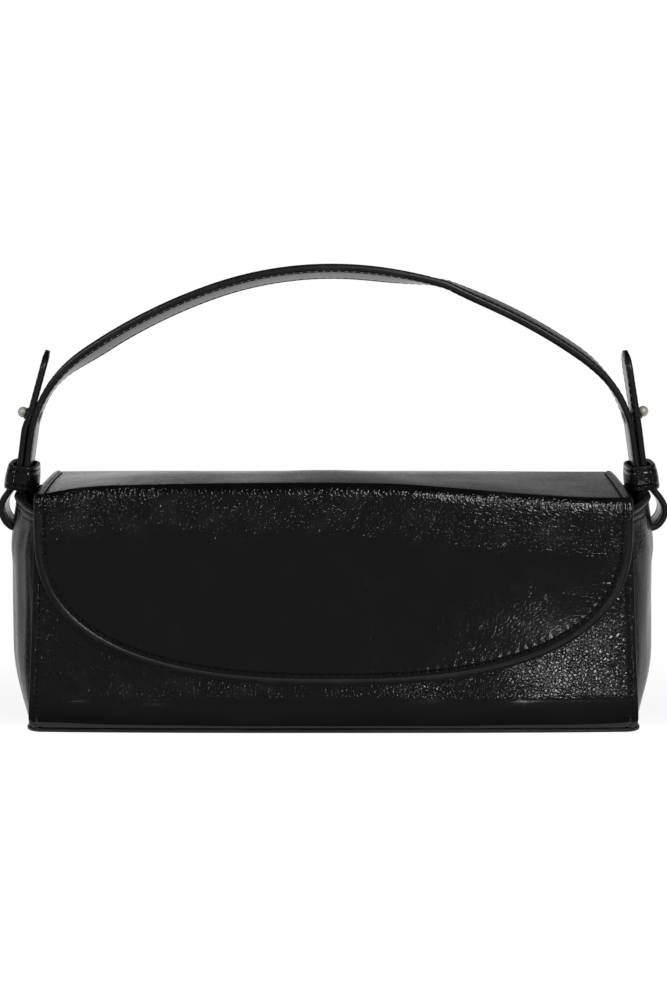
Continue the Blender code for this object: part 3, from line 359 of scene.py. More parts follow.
def add_sheet(
    skin: Skin,
    grid: Array,
    thickness: Union[float, Array],
    side: float,
    rim: Rim,
    finish: SheetFinish,
    maps: tuple[Array, Optional[Array]],
    normals: Optional[Array] = None,
) -> None:
    """Adds a closed sheet of leather with a rounded rim.

    Args:
        skin: The mesh that takes the sheet.
        grid: The points of the outer face.
        thickness: The sheet's thickness.
        side: The sign that makes the grid's normals look outwards.
        rim: The rounding of the edge.
        finish: The materials.
        maps: The skin and seam coordinates of the face.
        normals: The outward normals, where the grid is too slanted to give them.
    """
    if normals is None:
        normals = grid_normals(grid, side)
    depth = np.broadcast_to(np.asarray(thickness, float), grid.shape[:2])[..., None]
    face = skin.add(grid)
    back = skin.add(grid - normals * depth)
    flip = side < 0.0
    skin.patch(face, maps[0], maps[1], finish.face, flip=flip)
    skin.patch(back, maps[0], None, finish.back, flip=not flip)
    edge = border(grid)
    edge_normals = border(normals)
    edge_depth = border(depth)
    tangent = unit(np.roll(edge, -1, axis=0) - np.roll(edge, 1, axis=0))
    outward = unit(np.cross(tangent, edge_normals)) * side
    reach = np.full((len(edge), 1), rim.reach)
    rows, columns = grid.shape[:2]
    if rim.flat_first:
        reach[:columns] = 0.0
    if rim.flat_last:
        reach[columns + rows - 2 : 2 * columns + rows - 2] = 0.0
    rings = [border(face)]
    for step in range(1, rim.steps):
        angle = math.pi * step / rim.steps
        ring = (
            edge
            + outward * reach * math.sin(angle)
            - edge_normals * edge_depth * 0.5 * (1.0 - math.cos(angle))
        )
        rings.append(skin.add(ring))
    rings.append(border(back))
    lengths = run_lengths(np.concatenate([edge, edge[:1]]))
    around = pairs(lengths, np.arange(rim.steps + 1) * 0.5 * MM)
    skin.patch(closed(np.stack(rings)), around, None, finish.rim, flip=not flip)


def sheet_piece(
    name: str,
    grid: Array,
    thickness: Union[float, Array],
    side: float,
    rim: Rim,
    finish: SheetFinish,
    maps: tuple[Array, Optional[Array]],
) -> bpy.types.Object:
    """Makes an object of a single sheet; name is the piece's, the rest is as for add_sheet."""
    skin = finish.skin()
    add_sheet(skin, grid, thickness, side, rim, finish, maps)
    return skin.build(name)


@dataclass(frozen=True)
class Thread:
    """The sewing thread.

    Attributes:
        pitch: The distance from one stitch to the next.
        length: The length of the thread that shows.
        radius: The thread's radius.
        lift: How high the middle of a stitch stands over the leather.
    """

    pitch: float = 4.2 * MM
    length: float = 2.9 * MM
    radius: float = 0.32 * MM
    lift: float = 0.12 * MM

    def sew(self, skin: Skin, line: Array, normals: Array, finish: bpy.types.Material) -> int:
        """Adds a row of stitches along a line on the leather.

        Args:
            skin: The mesh that takes the stitches.
            line: The points of the seam on the leather's face.
            normals: The leather's outward normals at those points.
            finish: The thread's material.

        Returns:
            The number of stitches.
        """
        lengths = run_lengths(line)
        count = int(lengths[-1] / self.pitch)
        first = (lengths[-1] - count * self.pitch + self.pitch - self.length) / 2.0
        shares = np.array((0.0, 0.12, 0.32, 0.5, 0.68, 0.88, 1.0))
        rise = np.array((-1.2, -0.1, 0.75, 1.0, 0.75, -0.1, -1.2)) * self.lift
        width = np.array((0.45, 0.85, 1.0, 1.0, 1.0, 0.85, 0.45)) * self.radius
        marks = first + np.arange(count)[:, None] * self.pitch + shares[None, :] * self.length
        flat = marks.ravel()

        def at(values: Array, places: Array) -> Array:
            """Gives the values at the places along the line."""
            return np.stack([np.interp(places, lengths, values[:, k]) for k in range(3)], axis=1)

        centre = at(line, flat)
        up = unit(at(normals, flat))
        ahead = unit(at(line, flat + 0.2 * MM) - at(line, flat - 0.2 * MM))
        aside = unit(np.cross(up, ahead))
        up = np.cross(ahead, aside)
        sides = 6
        angles = circle(sides)
        raised = centre + up * np.tile(rise, count)[:, None]
        girth = np.tile(width, count)[:, None, None]
        ring = (
            raised[:, None, :]
            + aside[:, None, :] * np.cos(angles)[None, :, None] * girth
            + up[:, None, :] * np.sin(angles)[None, :, None] * girth * 0.8
        )
        numbers = skin.add(ring).reshape(count, len(shares), sides)
        numbers = np.concatenate([numbers, numbers[:, :, :1]], axis=2)
        turn = np.linspace(0.0, 1.6 * MM, sides + 1)
        for index in range(count):
            spread = pairs(turn, shares * self.length + index * self.pitch)
            skin.patch(numbers[index], spread, None, finish)
        return count


# Shader nodes

Value = Union["Signal", float]


class Signal:
    """A shader socket that Python's operators join with Math nodes."""

    def __init__(self, kit: "ShaderKit", socket: bpy.types.NodeSocket) -> None:
        """Wraps an output socket."""
        self.kit = kit
        self.socket = socket

    def _with(self, operation: str, first: Value, second: Value) -> "Signal":
        """Gives a Math node's result on two values."""
        node = self.kit.node("ShaderNodeMath", {"operation": operation}, {0: first, 1: second})
        return Signal(self.kit, node.outputs[0])

    def __add__(self, other: Value) -> "Signal":
        """Adds."""
        return self._with("ADD", self, other)

    def __radd__(self, other: Value) -> "Signal":
        """Adds to a number on the left."""
        return self._with("ADD", other, self)

    def __sub__(self, other: Value) -> "Signal":
        """Subtracts."""
        return self._with("SUBTRACT", self, other)

    def __rsub__(self, other: Value) -> "Signal":
        """Subtracts from a number on the left."""
        return self._with("SUBTRACT", other, self)

    def __mul__(self, other: Value) -> "Signal":
        """Multiplies."""
        return self._with("MULTIPLY", self, other)

    def __rmul__(self, other: Value) -> "Signal":
        """Multiplies a number on the left."""
        return self._with("MULTIPLY", other, self)

    def __pow__(self, other: Value) -> "Signal":
        """Raises to a power."""
        return self._with("POWER", self, other)

    def largest(self, other: Value) -> "Signal":
        """Gives the larger of two values."""
        return self._with("MAXIMUM", self, other)

    def root(self) -> "Signal":
        """Gives the square root of the value."""
        return self._with("SQRT", self, 0.0)

    def sine(self) -> "Signal":
        """Gives the sine of the value."""
        return self._with("SINE", self, 0.0)

    def ramp(self, low: float, high: float, start: float = 0.0, end: float = 1.0) -> "Signal":
        """Gives a smooth change from start at low to end at high."""
        node = self.kit.node(
            "ShaderNodeMapRange",
            {"interpolation_type": "SMOOTHSTEP", "clamp": True},
            {"Value": self, "From Min": low, "From Max": high, "To Min": start, "To Max": end},
        )
        return Signal(self.kit, node.outputs["Result"])

    def near(self, middle: float, width: float) -> "Signal":
        """Gives 1 at the middle value, falling to 0 a width away on both sides."""
        gap = self._with("SUBTRACT", self, middle)
        away = self._with("ABSOLUTE", gap, 0.0)
        return away.ramp(0.0, width, 1.0, 0.0)


class ShaderKit:
    """Adds nodes to one node tree."""

    def __init__(self, tree: bpy.types.NodeTree) -> None:
        """Takes the tree and empties it."""
        self.tree = tree
        tree.nodes.clear()

    def node(
        self, kind: str, settings: dict[str, object], inputs: dict[Union[str, int], object]
    ) -> bpy.types.Node:
        """Adds a node of any kind.

        Args:
            kind: The node's type.
            settings: The node's own settings, set first; "stops" sets a ramp's stops.
            inputs: A value, Signal or socket for each named or numbered input.

        Returns:
            The node.
        """
        made = self.tree.nodes.new(kind)
        for name, value in settings.items():
            if name == "stops":
                self._set_stops(made, value)
            else:
                setattr(made, name, value)
        for name, value in inputs.items():
            target = made.inputs[name]
            if isinstance(value, Signal):
                self.tree.links.new(value.socket, target)
            elif isinstance(value, bpy.types.NodeSocket):
                self.tree.links.new(value, target)
            else:
                target.default_value = value
        return made

    def _set_stops(self, ramp: bpy.types.Node, stops: Sequence[tuple[float, Colour]]) -> None:
        """Sets the stops of a colour ramp."""
        elements = ramp.color_ramp.elements
        while len(elements) < len(stops):
            elements.new(0.5)
        for element, (place, colour) in zip(elements, stops):
            element.position = place
            element.color = (*colour, 1.0)

    def split(self, vector: object) -> tuple[Signal, Signal, Signal]:
        """Splits a vector into its three numbers."""
        outputs = self.node("ShaderNodeSeparateXYZ", {}, {"Vector": vector}).outputs
        return Signal(self, outputs["X"]), Signal(self, outputs["Y"]), Signal(self, outputs["Z"])

    def surface(self, name: str) -> bpy.types.NodeSocket:
        """Reads the "skin" or the "seam" surface map."""
        return self.node("ShaderNodeUVMap", {"uv_map": name}, {}).outputs["UV"]

    def place(self, kind: str = "Object") -> bpy.types.NodeSocket:
        """Reads the coordinates of a kind."""
        return self.node("ShaderNodeTexCoord", {}, {}).outputs[kind]

    def vector(self, operation: str, inputs: dict[Union[str, int], object]) -> bpy.types.NodeSocket:
        """Gives a Vector Math node's result."""
        return self.node("ShaderNodeVectorMath", {"operation": operation}, inputs).outputs["Vector"]

    def raised(self, height: Signal) -> bpy.types.NodeSocket:
        """Turns a height in metres into a normal."""
        inputs = {"Strength": 1.0, "Distance": 1.0, "Height": height}
        return self.node("ShaderNodeBump", {}, inputs).outputs["Normal"]

    def mixed(self, share: Value, first: bpy.types.Node, second: bpy.types.Node) -> bpy.types.NodeSocket:
        """Mixes two shaders."""
        inputs = {"Fac": share, 1: first.outputs[0], 2: second.outputs[0]}
        return self.node("ShaderNodeMixShader", {}, inputs).outputs["Shader"]

    def rays(self) -> tuple[Signal, Signal]:
        """Tells the rays from the camera, and the mirrored or refracted ones."""
        path = self.node("ShaderNodeLightPath", {}, {}).outputs
        glossy = Signal(self, path["Is Glossy Ray"])
        return Signal(self, path["Is Camera Ray"]), glossy.largest(Signal(self, path["Is Transmission Ray"]))

    def noise(self, vector: object, scale: float, detail: float = 2.0, distortion: float = 0.0) -> Signal:
        """Gives noise between about 0 and 1 at a scale in features a metre."""
        inputs = {"Vector": vector, "Scale": scale, "Detail": detail, "Distortion": distortion}
        return Signal(self, self.node("ShaderNodeTexNoise", {}, inputs).outputs["Fac"])

    def colour(self, mask: Value, low: Colour, high: Colour) -> bpy.types.NodeSocket:
        """Mixes two colours by a mask."""
        node = self.node(
            "ShaderNodeMix",
            {"data_type": "RGBA"},
            {"Factor": mask, "A": (*low, 1.0), "B": (*high, 1.0)},
        )
        return node.outputs["Result"]


def new_material(name: str) -> tuple[bpy.types.Material, ShaderKit]:
    material = bpy.data.materials.new(name)
    material.use_nodes = True
    return material, ShaderKit(material.node_tree)


# Finishes


@dataclass(frozen=True)
class Finish:
    """What every finish shares.

    Attributes:
        name: The material's name.
    """

    name: str

    def surface(self, kit: ShaderKit) -> dict[str, object]:
        """Gives the shader's values; one extra entry marks the needle holes, which are painted near-black as
        shade.
        """
        raise NotImplementedError

    def make(self) -> bpy.types.Material:
        """Builds the material."""
        material, kit = new_material(self.name)
        values = self.surface(kit)
        # The needle holes are painted as shade: where their mask is high, a near-black diffuse shader is
        # mixed in.
        holes = values.pop("Holes", 0.0)
        shader = kit.node("ShaderNodeBsdfPrincipled", {}, values)
        hole_shade_shader = kit.node("ShaderNodeBsdfDiffuse", {}, {"Color": (0.0006, 0.0006, 0.0006, 1.0)})
        kit.node("ShaderNodeOutputMaterial", {}, {"Surface": kit.mixed(holes, shader, hole_shade_shader)})
        return material


@dataclass(frozen=True)
class PatentLeather(Finish):
    """Black lacquered leather with a crinkled grain.

    Attributes:
        base: The colour of the flat lacquer.
        worn: The colour of the lacquer on the high grain.
        gloss: The roughness of the lacquer.
        crinkle: The height of the crinkled cells.
        grain: The height of the fine grain.
        swell: The height of the slow waves in the sheet.
        streak: The height of the fine wrinkles that run down the sheet.
        seam_depth: The depth of the groove that the thread pulls in.
        inset: The distance of the stitching from the edge.
        pitch: The distance from one needle hole to the next.
        cell_scale: The number of crinkled cells a metre.
        fold_scale: The number of soft folds a metre.
        swell_scale: The number of slow waves a metre.
        bend: How far the cells are pushed out of their places.
        calm_below: Where the sheet's second coordinate is lower, the leather is smooth.
        settle_from: Where the sheet's second coordinate is higher, the crinkle is weaker.
    """

    base: Colour = (0.0042, 0.0042, 0.0046)
    worn: Colour = (0.011, 0.011, 0.0118)
    gloss: float = 0.09
    crinkle: float = 0.07 * MM
    grain: float = 0.008 * MM
    swell: float = 0.35 * MM
    streak: float = 0.07 * MM
    seam_depth: float = 0.24 * MM
    inset: float = 4.0 * MM
    pitch: float = 4.2 * MM
    cell_scale: float = 600.0
    fold_scale: float = 330.0
    swell_scale: float = 32.0
    bend: float = 2.2 * MM
    calm_below: float = -1.0
    settle_from: float = 9.0

    def surface(self, kit: ShaderKit) -> dict[str, object]:
        """Gives the shader's values."""
        skin = kit.surface("skin")
        run, away, _ = kit.split(kit.surface("seam"))
        _, down, _ = kit.split(skin)
        warp = kit.node("ShaderNodeTexNoise", {}, {"Vector": skin, "Scale": 260.0, "Detail": 2.0})
        pushed = kit.vector("SCALE", {0: warp.outputs["Color"], "Scale": self.bend})
        bent = kit.vector("ADD", {0: skin, 1: pushed})
        settings = {"feature": "DISTANCE_TO_EDGE"}
        voronoi = kit.node("ShaderNodeTexVoronoi", settings, {"Vector": bent, "Scale": self.cell_scale})
        cells = Signal(kit, voronoi.outputs["Distance"])
        lively = down.ramp(self.calm_below, self.calm_below + 3.0 * MM)
        lively = lively * down.ramp(self.settle_from, self.settle_from + 12.0 * MM, 1.0, 0.2)
        lively = lively * (1.0 + 0.9 * down.near(self.settle_from - 6.0 * MM, 14.0 * MM))
        patches = kit.noise(skin, 24.0, 2.0).ramp(0.36, 0.64, 0.45, 1.0) * lively
        grain = kit.noise(bent, 950.0, 2.0)
        folds = kit.noise(bent, self.fold_scale, 2.0, 0.4)
        swell = kit.noise(skin, self.swell_scale, 1.0)
        drawn = kit.vector("MULTIPLY", {0: skin, 1: (1.0, 0.16, 1.0)})
        streaks = kit.noise(drawn, self.fold_scale, 3.0, 0.3)
        seam = away.near(self.inset, 1.3 * MM)
        pulled = away.near(self.inset, 4.2 * MM)
        beat = (run * (2.0 * math.pi / self.pitch)).sine()
        # Painted shade: a mask of the needle holes along the stitch line, where a near-black diffuse shader
        # is mixed in.
        holes = away.near(self.inset, 0.75 * MM) * beat.ramp(0.62, 0.9)
        height = (
            cells.ramp(0.0, 0.24) * patches * self.crinkle
            + folds * patches * (2.2 * self.crinkle)
            + grain * self.grain
            + swell * self.swell
            + streaks * lively * self.streak
            - seam * self.seam_depth
            - pulled * beat * (0.14 * self.seam_depth)
        )
        dust = kit.noise(skin, 75.0, 4.0).ramp(0.45, 0.75)
        return {
            "Base Color": kit.colour(dust * patches, self.base, self.worn),
            "Roughness": self.gloss * (1.0 + 0.55 * dust) + seam * 0.06,
            "IOR": 1.5,
            "Normal": kit.raised(height),
            "Holes": holes,
        }


@dataclass(frozen=True)
class EdgePaint(Finish):
    """Satin black paint on a cut leather edge."""

    low: Colour = (0.006, 0.006, 0.0064)
    high: Colour = (0.014, 0.014, 0.0147)
    gloss: float = 0.27

    def surface(self, kit: ShaderKit) -> dict[str, object]:
        """Gives the shader's values."""
        skin = kit.surface("skin")
        uneven = kit.noise(skin, 420.0, 3.0)
        rubbed = kit.noise(skin, 60.0, 3.0).ramp(0.42, 0.7)
        height = uneven * (0.05 * MM) + kit.noise(skin, 1500.0, 2.0) * (0.012 * MM)
        return {
            "Base Color": kit.colour(rubbed, self.low, self.high),
            "Roughness": self.gloss + 0.14 * uneven,
            "Normal": kit.raised(height),
        }


@dataclass(frozen=True)
class WaxedThread(Finish):
    """Black waxed sewing thread with the twist of its strands."""

    low: Colour = (0.002, 0.002, 0.0022)
    high: Colour = (0.011, 0.011, 0.0115)
    lay: float = 0.42 * MM

    def surface(self, kit: ShaderKit) -> dict[str, object]:
        """Gives the shader's values."""
        skin = kit.surface("skin")
        around, along, _ = kit.split(skin)
        strand = ((around + along) * (2.0 * math.pi / self.lay)).sine()
        fluff = kit.noise(skin, 2600.0, 2.0)
        return {
            "Base Color": kit.colour(fluff * 0.5 + strand * 0.25 + 0.25, self.low, self.high),
            "Roughness": 0.5 + 0.12 * fluff,
            "Specular IOR Level": 0.2,
            "Normal": kit.raised(strand * (0.03 * MM) + fluff * (0.02 * MM)),
        }


@dataclass(frozen=True)
class WovenLining(Finish):
    """Matt black twill that lines the bag."""

    low: Colour = (0.007, 0.0065, 0.0065)
    high: Colour = (0.026, 0.024, 0.024)
    yarn: float = 0.75 * MM

    def surface(self, kit: ShaderKit) -> dict[str, object]:
        """Gives the shader's values."""
        skin = kit.surface("skin")
        across, along, _ = kit.split(skin)
        turn = 2.0 * math.pi / self.yarn
        twill = ((across + along) * turn).sine() * 0.5 + 0.5
        rib = (across * (2.0 * turn)).sine() * 0.5 + 0.5
        slub = kit.noise(skin, 300.0, 3.0)
        weave = twill * 0.65 + rib * 0.35
        return {
            "Base Color": kit.colour(weave * slub.ramp(0.25, 0.7), self.low, self.high),
            "Roughness": 0.72 + 0.18 * slub,
            "Normal": kit.raised(weave * (0.07 * MM) + slub * (0.06 * MM)),
        }


@dataclass(frozen=True)
class Metal(Finish):
    """Polished or satin metal with fine rubbing marks.

    Attributes:
        low: The colour where the metal is tarnished.
        high: The colour of the clean metal.
        gloss: The roughness.
        marks: The height of the rubbing marks.
        metallic: How metallic the surface is; a satin lacquer lowers it.
    """

    low: Colour
    high: Colour
    gloss: float
    marks: float = 0.004 * MM
    metallic: float = 1.0

    def surface(self, kit: ShaderKit) -> dict[str, object]:
        """Gives the shader's values."""
        place = kit.place()
        drawn = kit.vector("MULTIPLY", {0: place, 1: (1.0, 0.2, 1.6)})
        rubbed = kit.noise(drawn, 2400.0, 3.0)
        cloud = kit.noise(place, 260.0, 3.0).ramp(0.35, 0.68)
        return {
            "Base Color": kit.colour(cloud, self.low, self.high),
            "Metallic": self.metallic,
            "Roughness": self.gloss + 0.12 * rubbed + 0.06 * (1.0 - cloud),
            "Normal": kit.raised(rubbed * self.marks),
        }


@dataclass(frozen=True)
class PressedBoard(Finish):
    """Grey stiffener board with short pressed fibres."""

    low: Colour = (0.24, 0.225, 0.2)
    high: Colour = (0.42, 0.4, 0.36)

    def surface(self, kit: ShaderKit) -> dict[str, object]:
        """Gives the shader's values."""
        drawn = kit.vector("MULTIPLY", {0: kit.place(), 1: (0.4, 1.0, 1.0)})
        fibres = kit.noise(drawn, 900.0, 4.0, 1.0)
        return {
            "Base Color": kit.colour(fibres.ramp(0.3, 0.72), self.low, self.high),
            "Roughness": 0.78 + 0.15 * fibres,
            "Normal": kit.raised(fibres * (0.08 * MM)),
        }


class Place(Enum):
    """Where a finish is used, with the record's material slot."""

    SHELL = "patent_leather"
    STRAP = "strap_leather"
    EDGE = "painted_edge"
    LINING = "lining"
    BOARD = "stiffener"
    BRASS = "pale_brass"
    NICKEL = "nickel"
    MAGNET = "magnet"


@dataclass
class Workshop:
    """Every finish of the bag, made once.

    Attributes:
        flap: The leather of the flap, the softest and most crinkled.
        shell: The leather of the panels.
        side: The leather of the gussets.
        strap: The leather of the strap.
        edge: The painted edges.
        thread: The sewing thread.
        lining: The cloth inside.
        brass: The pale metal of the studs.
    """

    flap: bpy.types.Material = field(init=False)
    shell: bpy.types.Material = field(init=False)
    side: bpy.types.Material = field(init=False)
    strap: bpy.types.Material = field(init=False)
    edge: bpy.types.Material = field(init=False)
    thread: bpy.types.Material = field(init=False)
    lining: bpy.types.Material = field(init=False)
    brass: bpy.types.Material = field(init=False)

    def __post_init__(self) -> None:
        """Makes the materials."""
        self.flap = PatentLeather("flap_patent_leather", settle_from=87.0 * MM).make()
        self.shell = PatentLeather(
            "panel_patent_leather", swell=0.3 * MM, inset=2.9 * MM, pitch=2.6 * MM, calm_below=15.0 * MM
        ).make()
        self.side = PatentLeather(
            "gusset_patent_leather", inset=2.6 * MM, swell=0.5 * MM, streak=0.05 * MM, gloss=0.12
        ).make()
        self.strap = PatentLeather(
            "strap_patent_leather",
            crinkle=0.03 * MM,
            swell=0.12 * MM,
            streak=0.01 * MM,
            inset=2.3 * MM,
            pitch=3.4 * MM,
        ).make()
        self.edge = EdgePaint("black_edge_paint").make()
        self.thread = WaxedThread("black_waxed_thread").make()
        self.lining = WovenLining("black_twill_lining").make()
        self.brass = Metal(
            "pale_champagne_brass", (0.7, 0.66, 0.52), (0.86, 0.83, 0.7), 0.36, metallic=0.5
        ).make()

    def dress_nodes(self) -> int:
        """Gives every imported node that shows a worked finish.

        Returns:
            The number of nodes that were dressed.
        """
        metals = {
            Place.BRASS: self.brass,
            Place.NICKEL: Metal("satin_nickel", (0.4, 0.39, 0.36), (0.64, 0.63, 0.6), 0.24).make(),
            Place.MAGNET: Metal("sintered_magnet", (0.08, 0.08, 0.085), (0.2, 0.2, 0.21), 0.42).make(),
            Place.BOARD: PressedBoard("grey_stiffener_board").make(),
            Place.SHELL: self.shell,
            Place.STRAP: self.strap,
            Place.EDGE: self.edge,
            Place.LINING: self.lining,
        }
        by_slot = {place.value: made for place, made in metals.items()}
        dressed = 0
        for part in frame["record"]["subparts"]:
            obj = frame["nodes"][part["node"]]
            for slot in obj.material_slots:
                slot.material = by_slot[part["material_slot"]]
            dressed += 1
        return dressed


# The bag's rules of shape


@dataclass(frozen=True)
class BagShape:
    """The named sizes that the pieces share, in metres.

    Attributes:
        swell_height: The height where the panels stand out most.
        front_top: The height of the front panel's top edge.
        back_top: The height where the back panel's rule ends.
        back_end: The height where the back panel goes over into the ridge fold.
        front_top_depth: How far the front panel's top stands from the middle plane.
        back_top_depth: How far the back panel's top stands from the middle plane.
        front_swell: How much the front panel stands out below its top.
        back_swell: How much the back panel stands out below its top.
        foot_tuck: How far the panels' foot is drawn in.
        half_width: Half the panels' width at the top.
        foot_flare: How much wider each half is at the foot.
        foot_corner: The radius of the foot's corners.
        foot_cut: The share of the radius that the corners lose.
        panel: The panels' thickness.
        base_top: The height of the panels' foot.
        seam_half_width: How far the side seams stand from the middle.
        side_reach: How far the gussets' bulge reaches.
        side_height: The height below which the bulge is drawn in.
        side_tuck: How far it is drawn in at the foot.
        side_lean: How far it leans in at the top edge.
        lean_from: The height where the lean begins.
        lean_run: The height over which it grows.
        side_peak: The height of the gussets' top edge in the middle.
        corner_drop: How much lower that edge is at the seams.
        narrow_from: The height where the bulge starts to narrow.
        narrow_to: The height where it is narrowest.
        narrowing: How much the bulge's power grows there.
        right_flatter: The share by which the right side bulges less.
        seat: How far the gussets lie inside the panels' faces.
    """

    swell_height: float = 18.0 * MM
    front_top: float = 96.0 * MM
    back_top: float = 103.4 * MM
    back_end: float = 98.0 * MM
    front_top_depth: float = 39.6 * MM
    back_top_depth: float = 39.0 * MM
    front_swell: float = 2.4 * MM
    back_swell: float = 1.2 * MM
    foot_tuck: float = 3.6 * MM
    half_width: float = 133.2 * MM
    foot_flare: float = 4.2 * MM
    foot_corner: float = 5.0 * MM
    foot_cut: float = 0.35
    panel: float = 1.6 * MM
    base_top: float = 1.9 * MM
    seam_half_width: float = 130.5 * MM
    side_reach: float = 148.0 * MM
    side_height: float = 34.0 * MM
    side_tuck: float = 7.5 * MM
    side_lean: float = 2.4 * MM
    lean_from: float = 80.0 * MM
    lean_run: float = 21.0 * MM
    side_peak: float = 101.0 * MM
    corner_drop: float = 3.4 * MM
    narrow_from: float = 78.0 * MM
    narrow_to: float = 100.0 * MM
    narrowing: float = 0.55
    right_flatter: float = 0.065
    seat: float = 1.9 * MM

    def depth(self, height: Array, top: float, top_depth: float, swell: float) -> Array:
        """Gives how far a panel's outer face stands from the middle plane."""
        height = np.asarray(height, float)
        rise = np.clip((height - self.swell_height) / (top - self.swell_height), 0.0, None)
        foot = np.clip((self.swell_height - height) / self.swell_height, 0.0, 1.0)
        body = top_depth + swell * (1.0 - np.minimum(rise, 1.0) ** 2)
        tucked = top_depth + swell - self.foot_tuck * foot**2.2
        return np.where(height >= self.swell_height, body, tucked)

    def front(self, height: Array) -> Array:
        """Gives the front panel's outer face."""
        return self.depth(height, self.front_top, self.front_top_depth, self.front_swell)

    def back(self, height: Array) -> Array:
        """Gives the back panel's outer face."""
        return self.depth(height, self.back_top, self.back_top_depth, self.back_swell)

    def half(self, height: Array) -> Array:
        """Gives the panels' half width, wider at the foot and with rounded foot corners."""
        height = np.asarray(height, float)
        flare = 1.0 - np.minimum(height / self.front_top, 1.0)
        corner = self.foot_corner
        rise = np.clip(corner - (height - self.base_top), 0.0, corner)
        cut = self.foot_cut * (corner - np.sqrt(np.maximum(corner**2 - rise**2, 0.0)))
        return self.half_width + self.foot_flare * flare**1.6 - cut

    def reach(self, height: Array) -> Array:
        """Gives how far the gusset bulges to the side."""
        height = np.asarray(height, float)
        foot = np.clip((self.side_height - height) / self.side_height, 0.0, 1.0)
        lean = np.clip((height - self.lean_from) / self.lean_run, 0.0, None)
        return self.side_reach - self.side_tuck * foot**1.8 - self.side_lean * lean**1.5

    def side_edge(self, turn: Array) -> Array:
        """Gives the height of the gusset's top edge."""
        return self.side_peak - self.corner_drop * np.sin(turn * math.pi / 2.0) ** 2

    def side(self, turn: Array, height: Array, inset: float) -> Array:
        """Gives points of the right gusset.

        Args:
            turn: From -1 at the front seam to 1 at the back seam.
            height: The heights.
            inset: How far the points lie inside the outer face.

        Returns:
            The points.
        """
        front = self.front(height) - self.seat - inset
        back = self.back(height) - self.seat - inset
        centre, half = (back - front) / 2.0, (back + front) / 2.0
        angle = turn * math.pi / 2.0
        power = 1.0 + self.narrowing * ease(height, self.narrow_from, self.narrow_to)
        bulge = np.maximum(np.cos(angle), 0.0) ** power
        along = self.seam_half_width + (self.reach(height) - self.seam_half_width - inset) * bulge
        return joined(along, centre + half * np.sin(angle), height)

    def placed(self, points: Array, sign: float) -> Array:
        """Gives a side's points on the left or the right, where the bulge is flatter.

        Args:
            points: Points beside the right gusset.
            sign: 1 for the right side and -1 for the left.

        Returns:
            The points of that side.
        """
        share = 1.0 - (self.right_flatter if sign > 0.0 else 0.0)
        x = self.seam_half_width + (points[..., 0] - self.seam_half_width) * share
        return joined(sign * x, points[..., 1], points[..., 2])


SHAPE = BagShape()
SIDES = (("left", -1.0), ("right", 1.0))
ACROSS = np.array((0.0, 1.0, 0.0))
UP = np.array((0.0, 0.0, 1.0))


def put_on(obj: bpy.types.Object, body: Optional[str], slot: Place, *nodes: str) -> None:
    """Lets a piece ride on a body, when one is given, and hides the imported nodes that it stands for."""
    if body is not None:
        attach(obj, body)
    if nodes:
        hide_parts(*nodes)


def carve(obj: bpy.types.Object, cutter: bpy.types.Object) -> None:
    """Cuts a hole in a piece with a closed cutter and removes the cutter."""
    cut = obj.modifiers.new("cut", "BOOLEAN")
    cut.operation = "DIFFERENCE"
    cut.solver = "EXACT"
    cut.object = cutter
    ready = obj.evaluated_get(bpy.context.evaluated_depsgraph_get())
    mesh = bpy.data.meshes.new_from_object(ready)
    obj.modifiers.clear()
    old = obj.data
    obj.data = mesh
    smooth_mesh(mesh)
    bpy.data.meshes.remove(old)
    bpy.data.objects.remove(cutter)


def weld(obj: bpy.types.Object) -> None:
    """Joins the points of a mesh that lie on each other."""
    work = bmesh.new()
    work.from_mesh(obj.data)
    bmesh.ops.remove_doubles(work, verts=work.verts, dist=0.001 * MM)
    work.to_mesh(obj.data)
    work.free()
    smooth_mesh(obj.data)


def slab(corners: Array, rise: Array, finish: bpy.types.Material, name: str) -> bpy.types.Object:
    """Makes a closed prism from a ring of corners.

    Args:
        corners: The ring of points.
        rise: The vector from the ring to its copy.
        finish: The material.
        name: The object's name.

    Returns:
        The object.
    """
    skin = Skin([finish])
    rings = closed(np.stack([skin.add(corners), skin.add(corners + rise)]))
    skin.patch(rings, pairs(np.arange(rings.shape[1]) * MM, np.arange(2) * MM), None, finish)
    skin.cap(rings[0, :-1], finish, flip=True)
    skin.cap(rings[1, :-1], finish)
    return skin.build(name)


# The shell


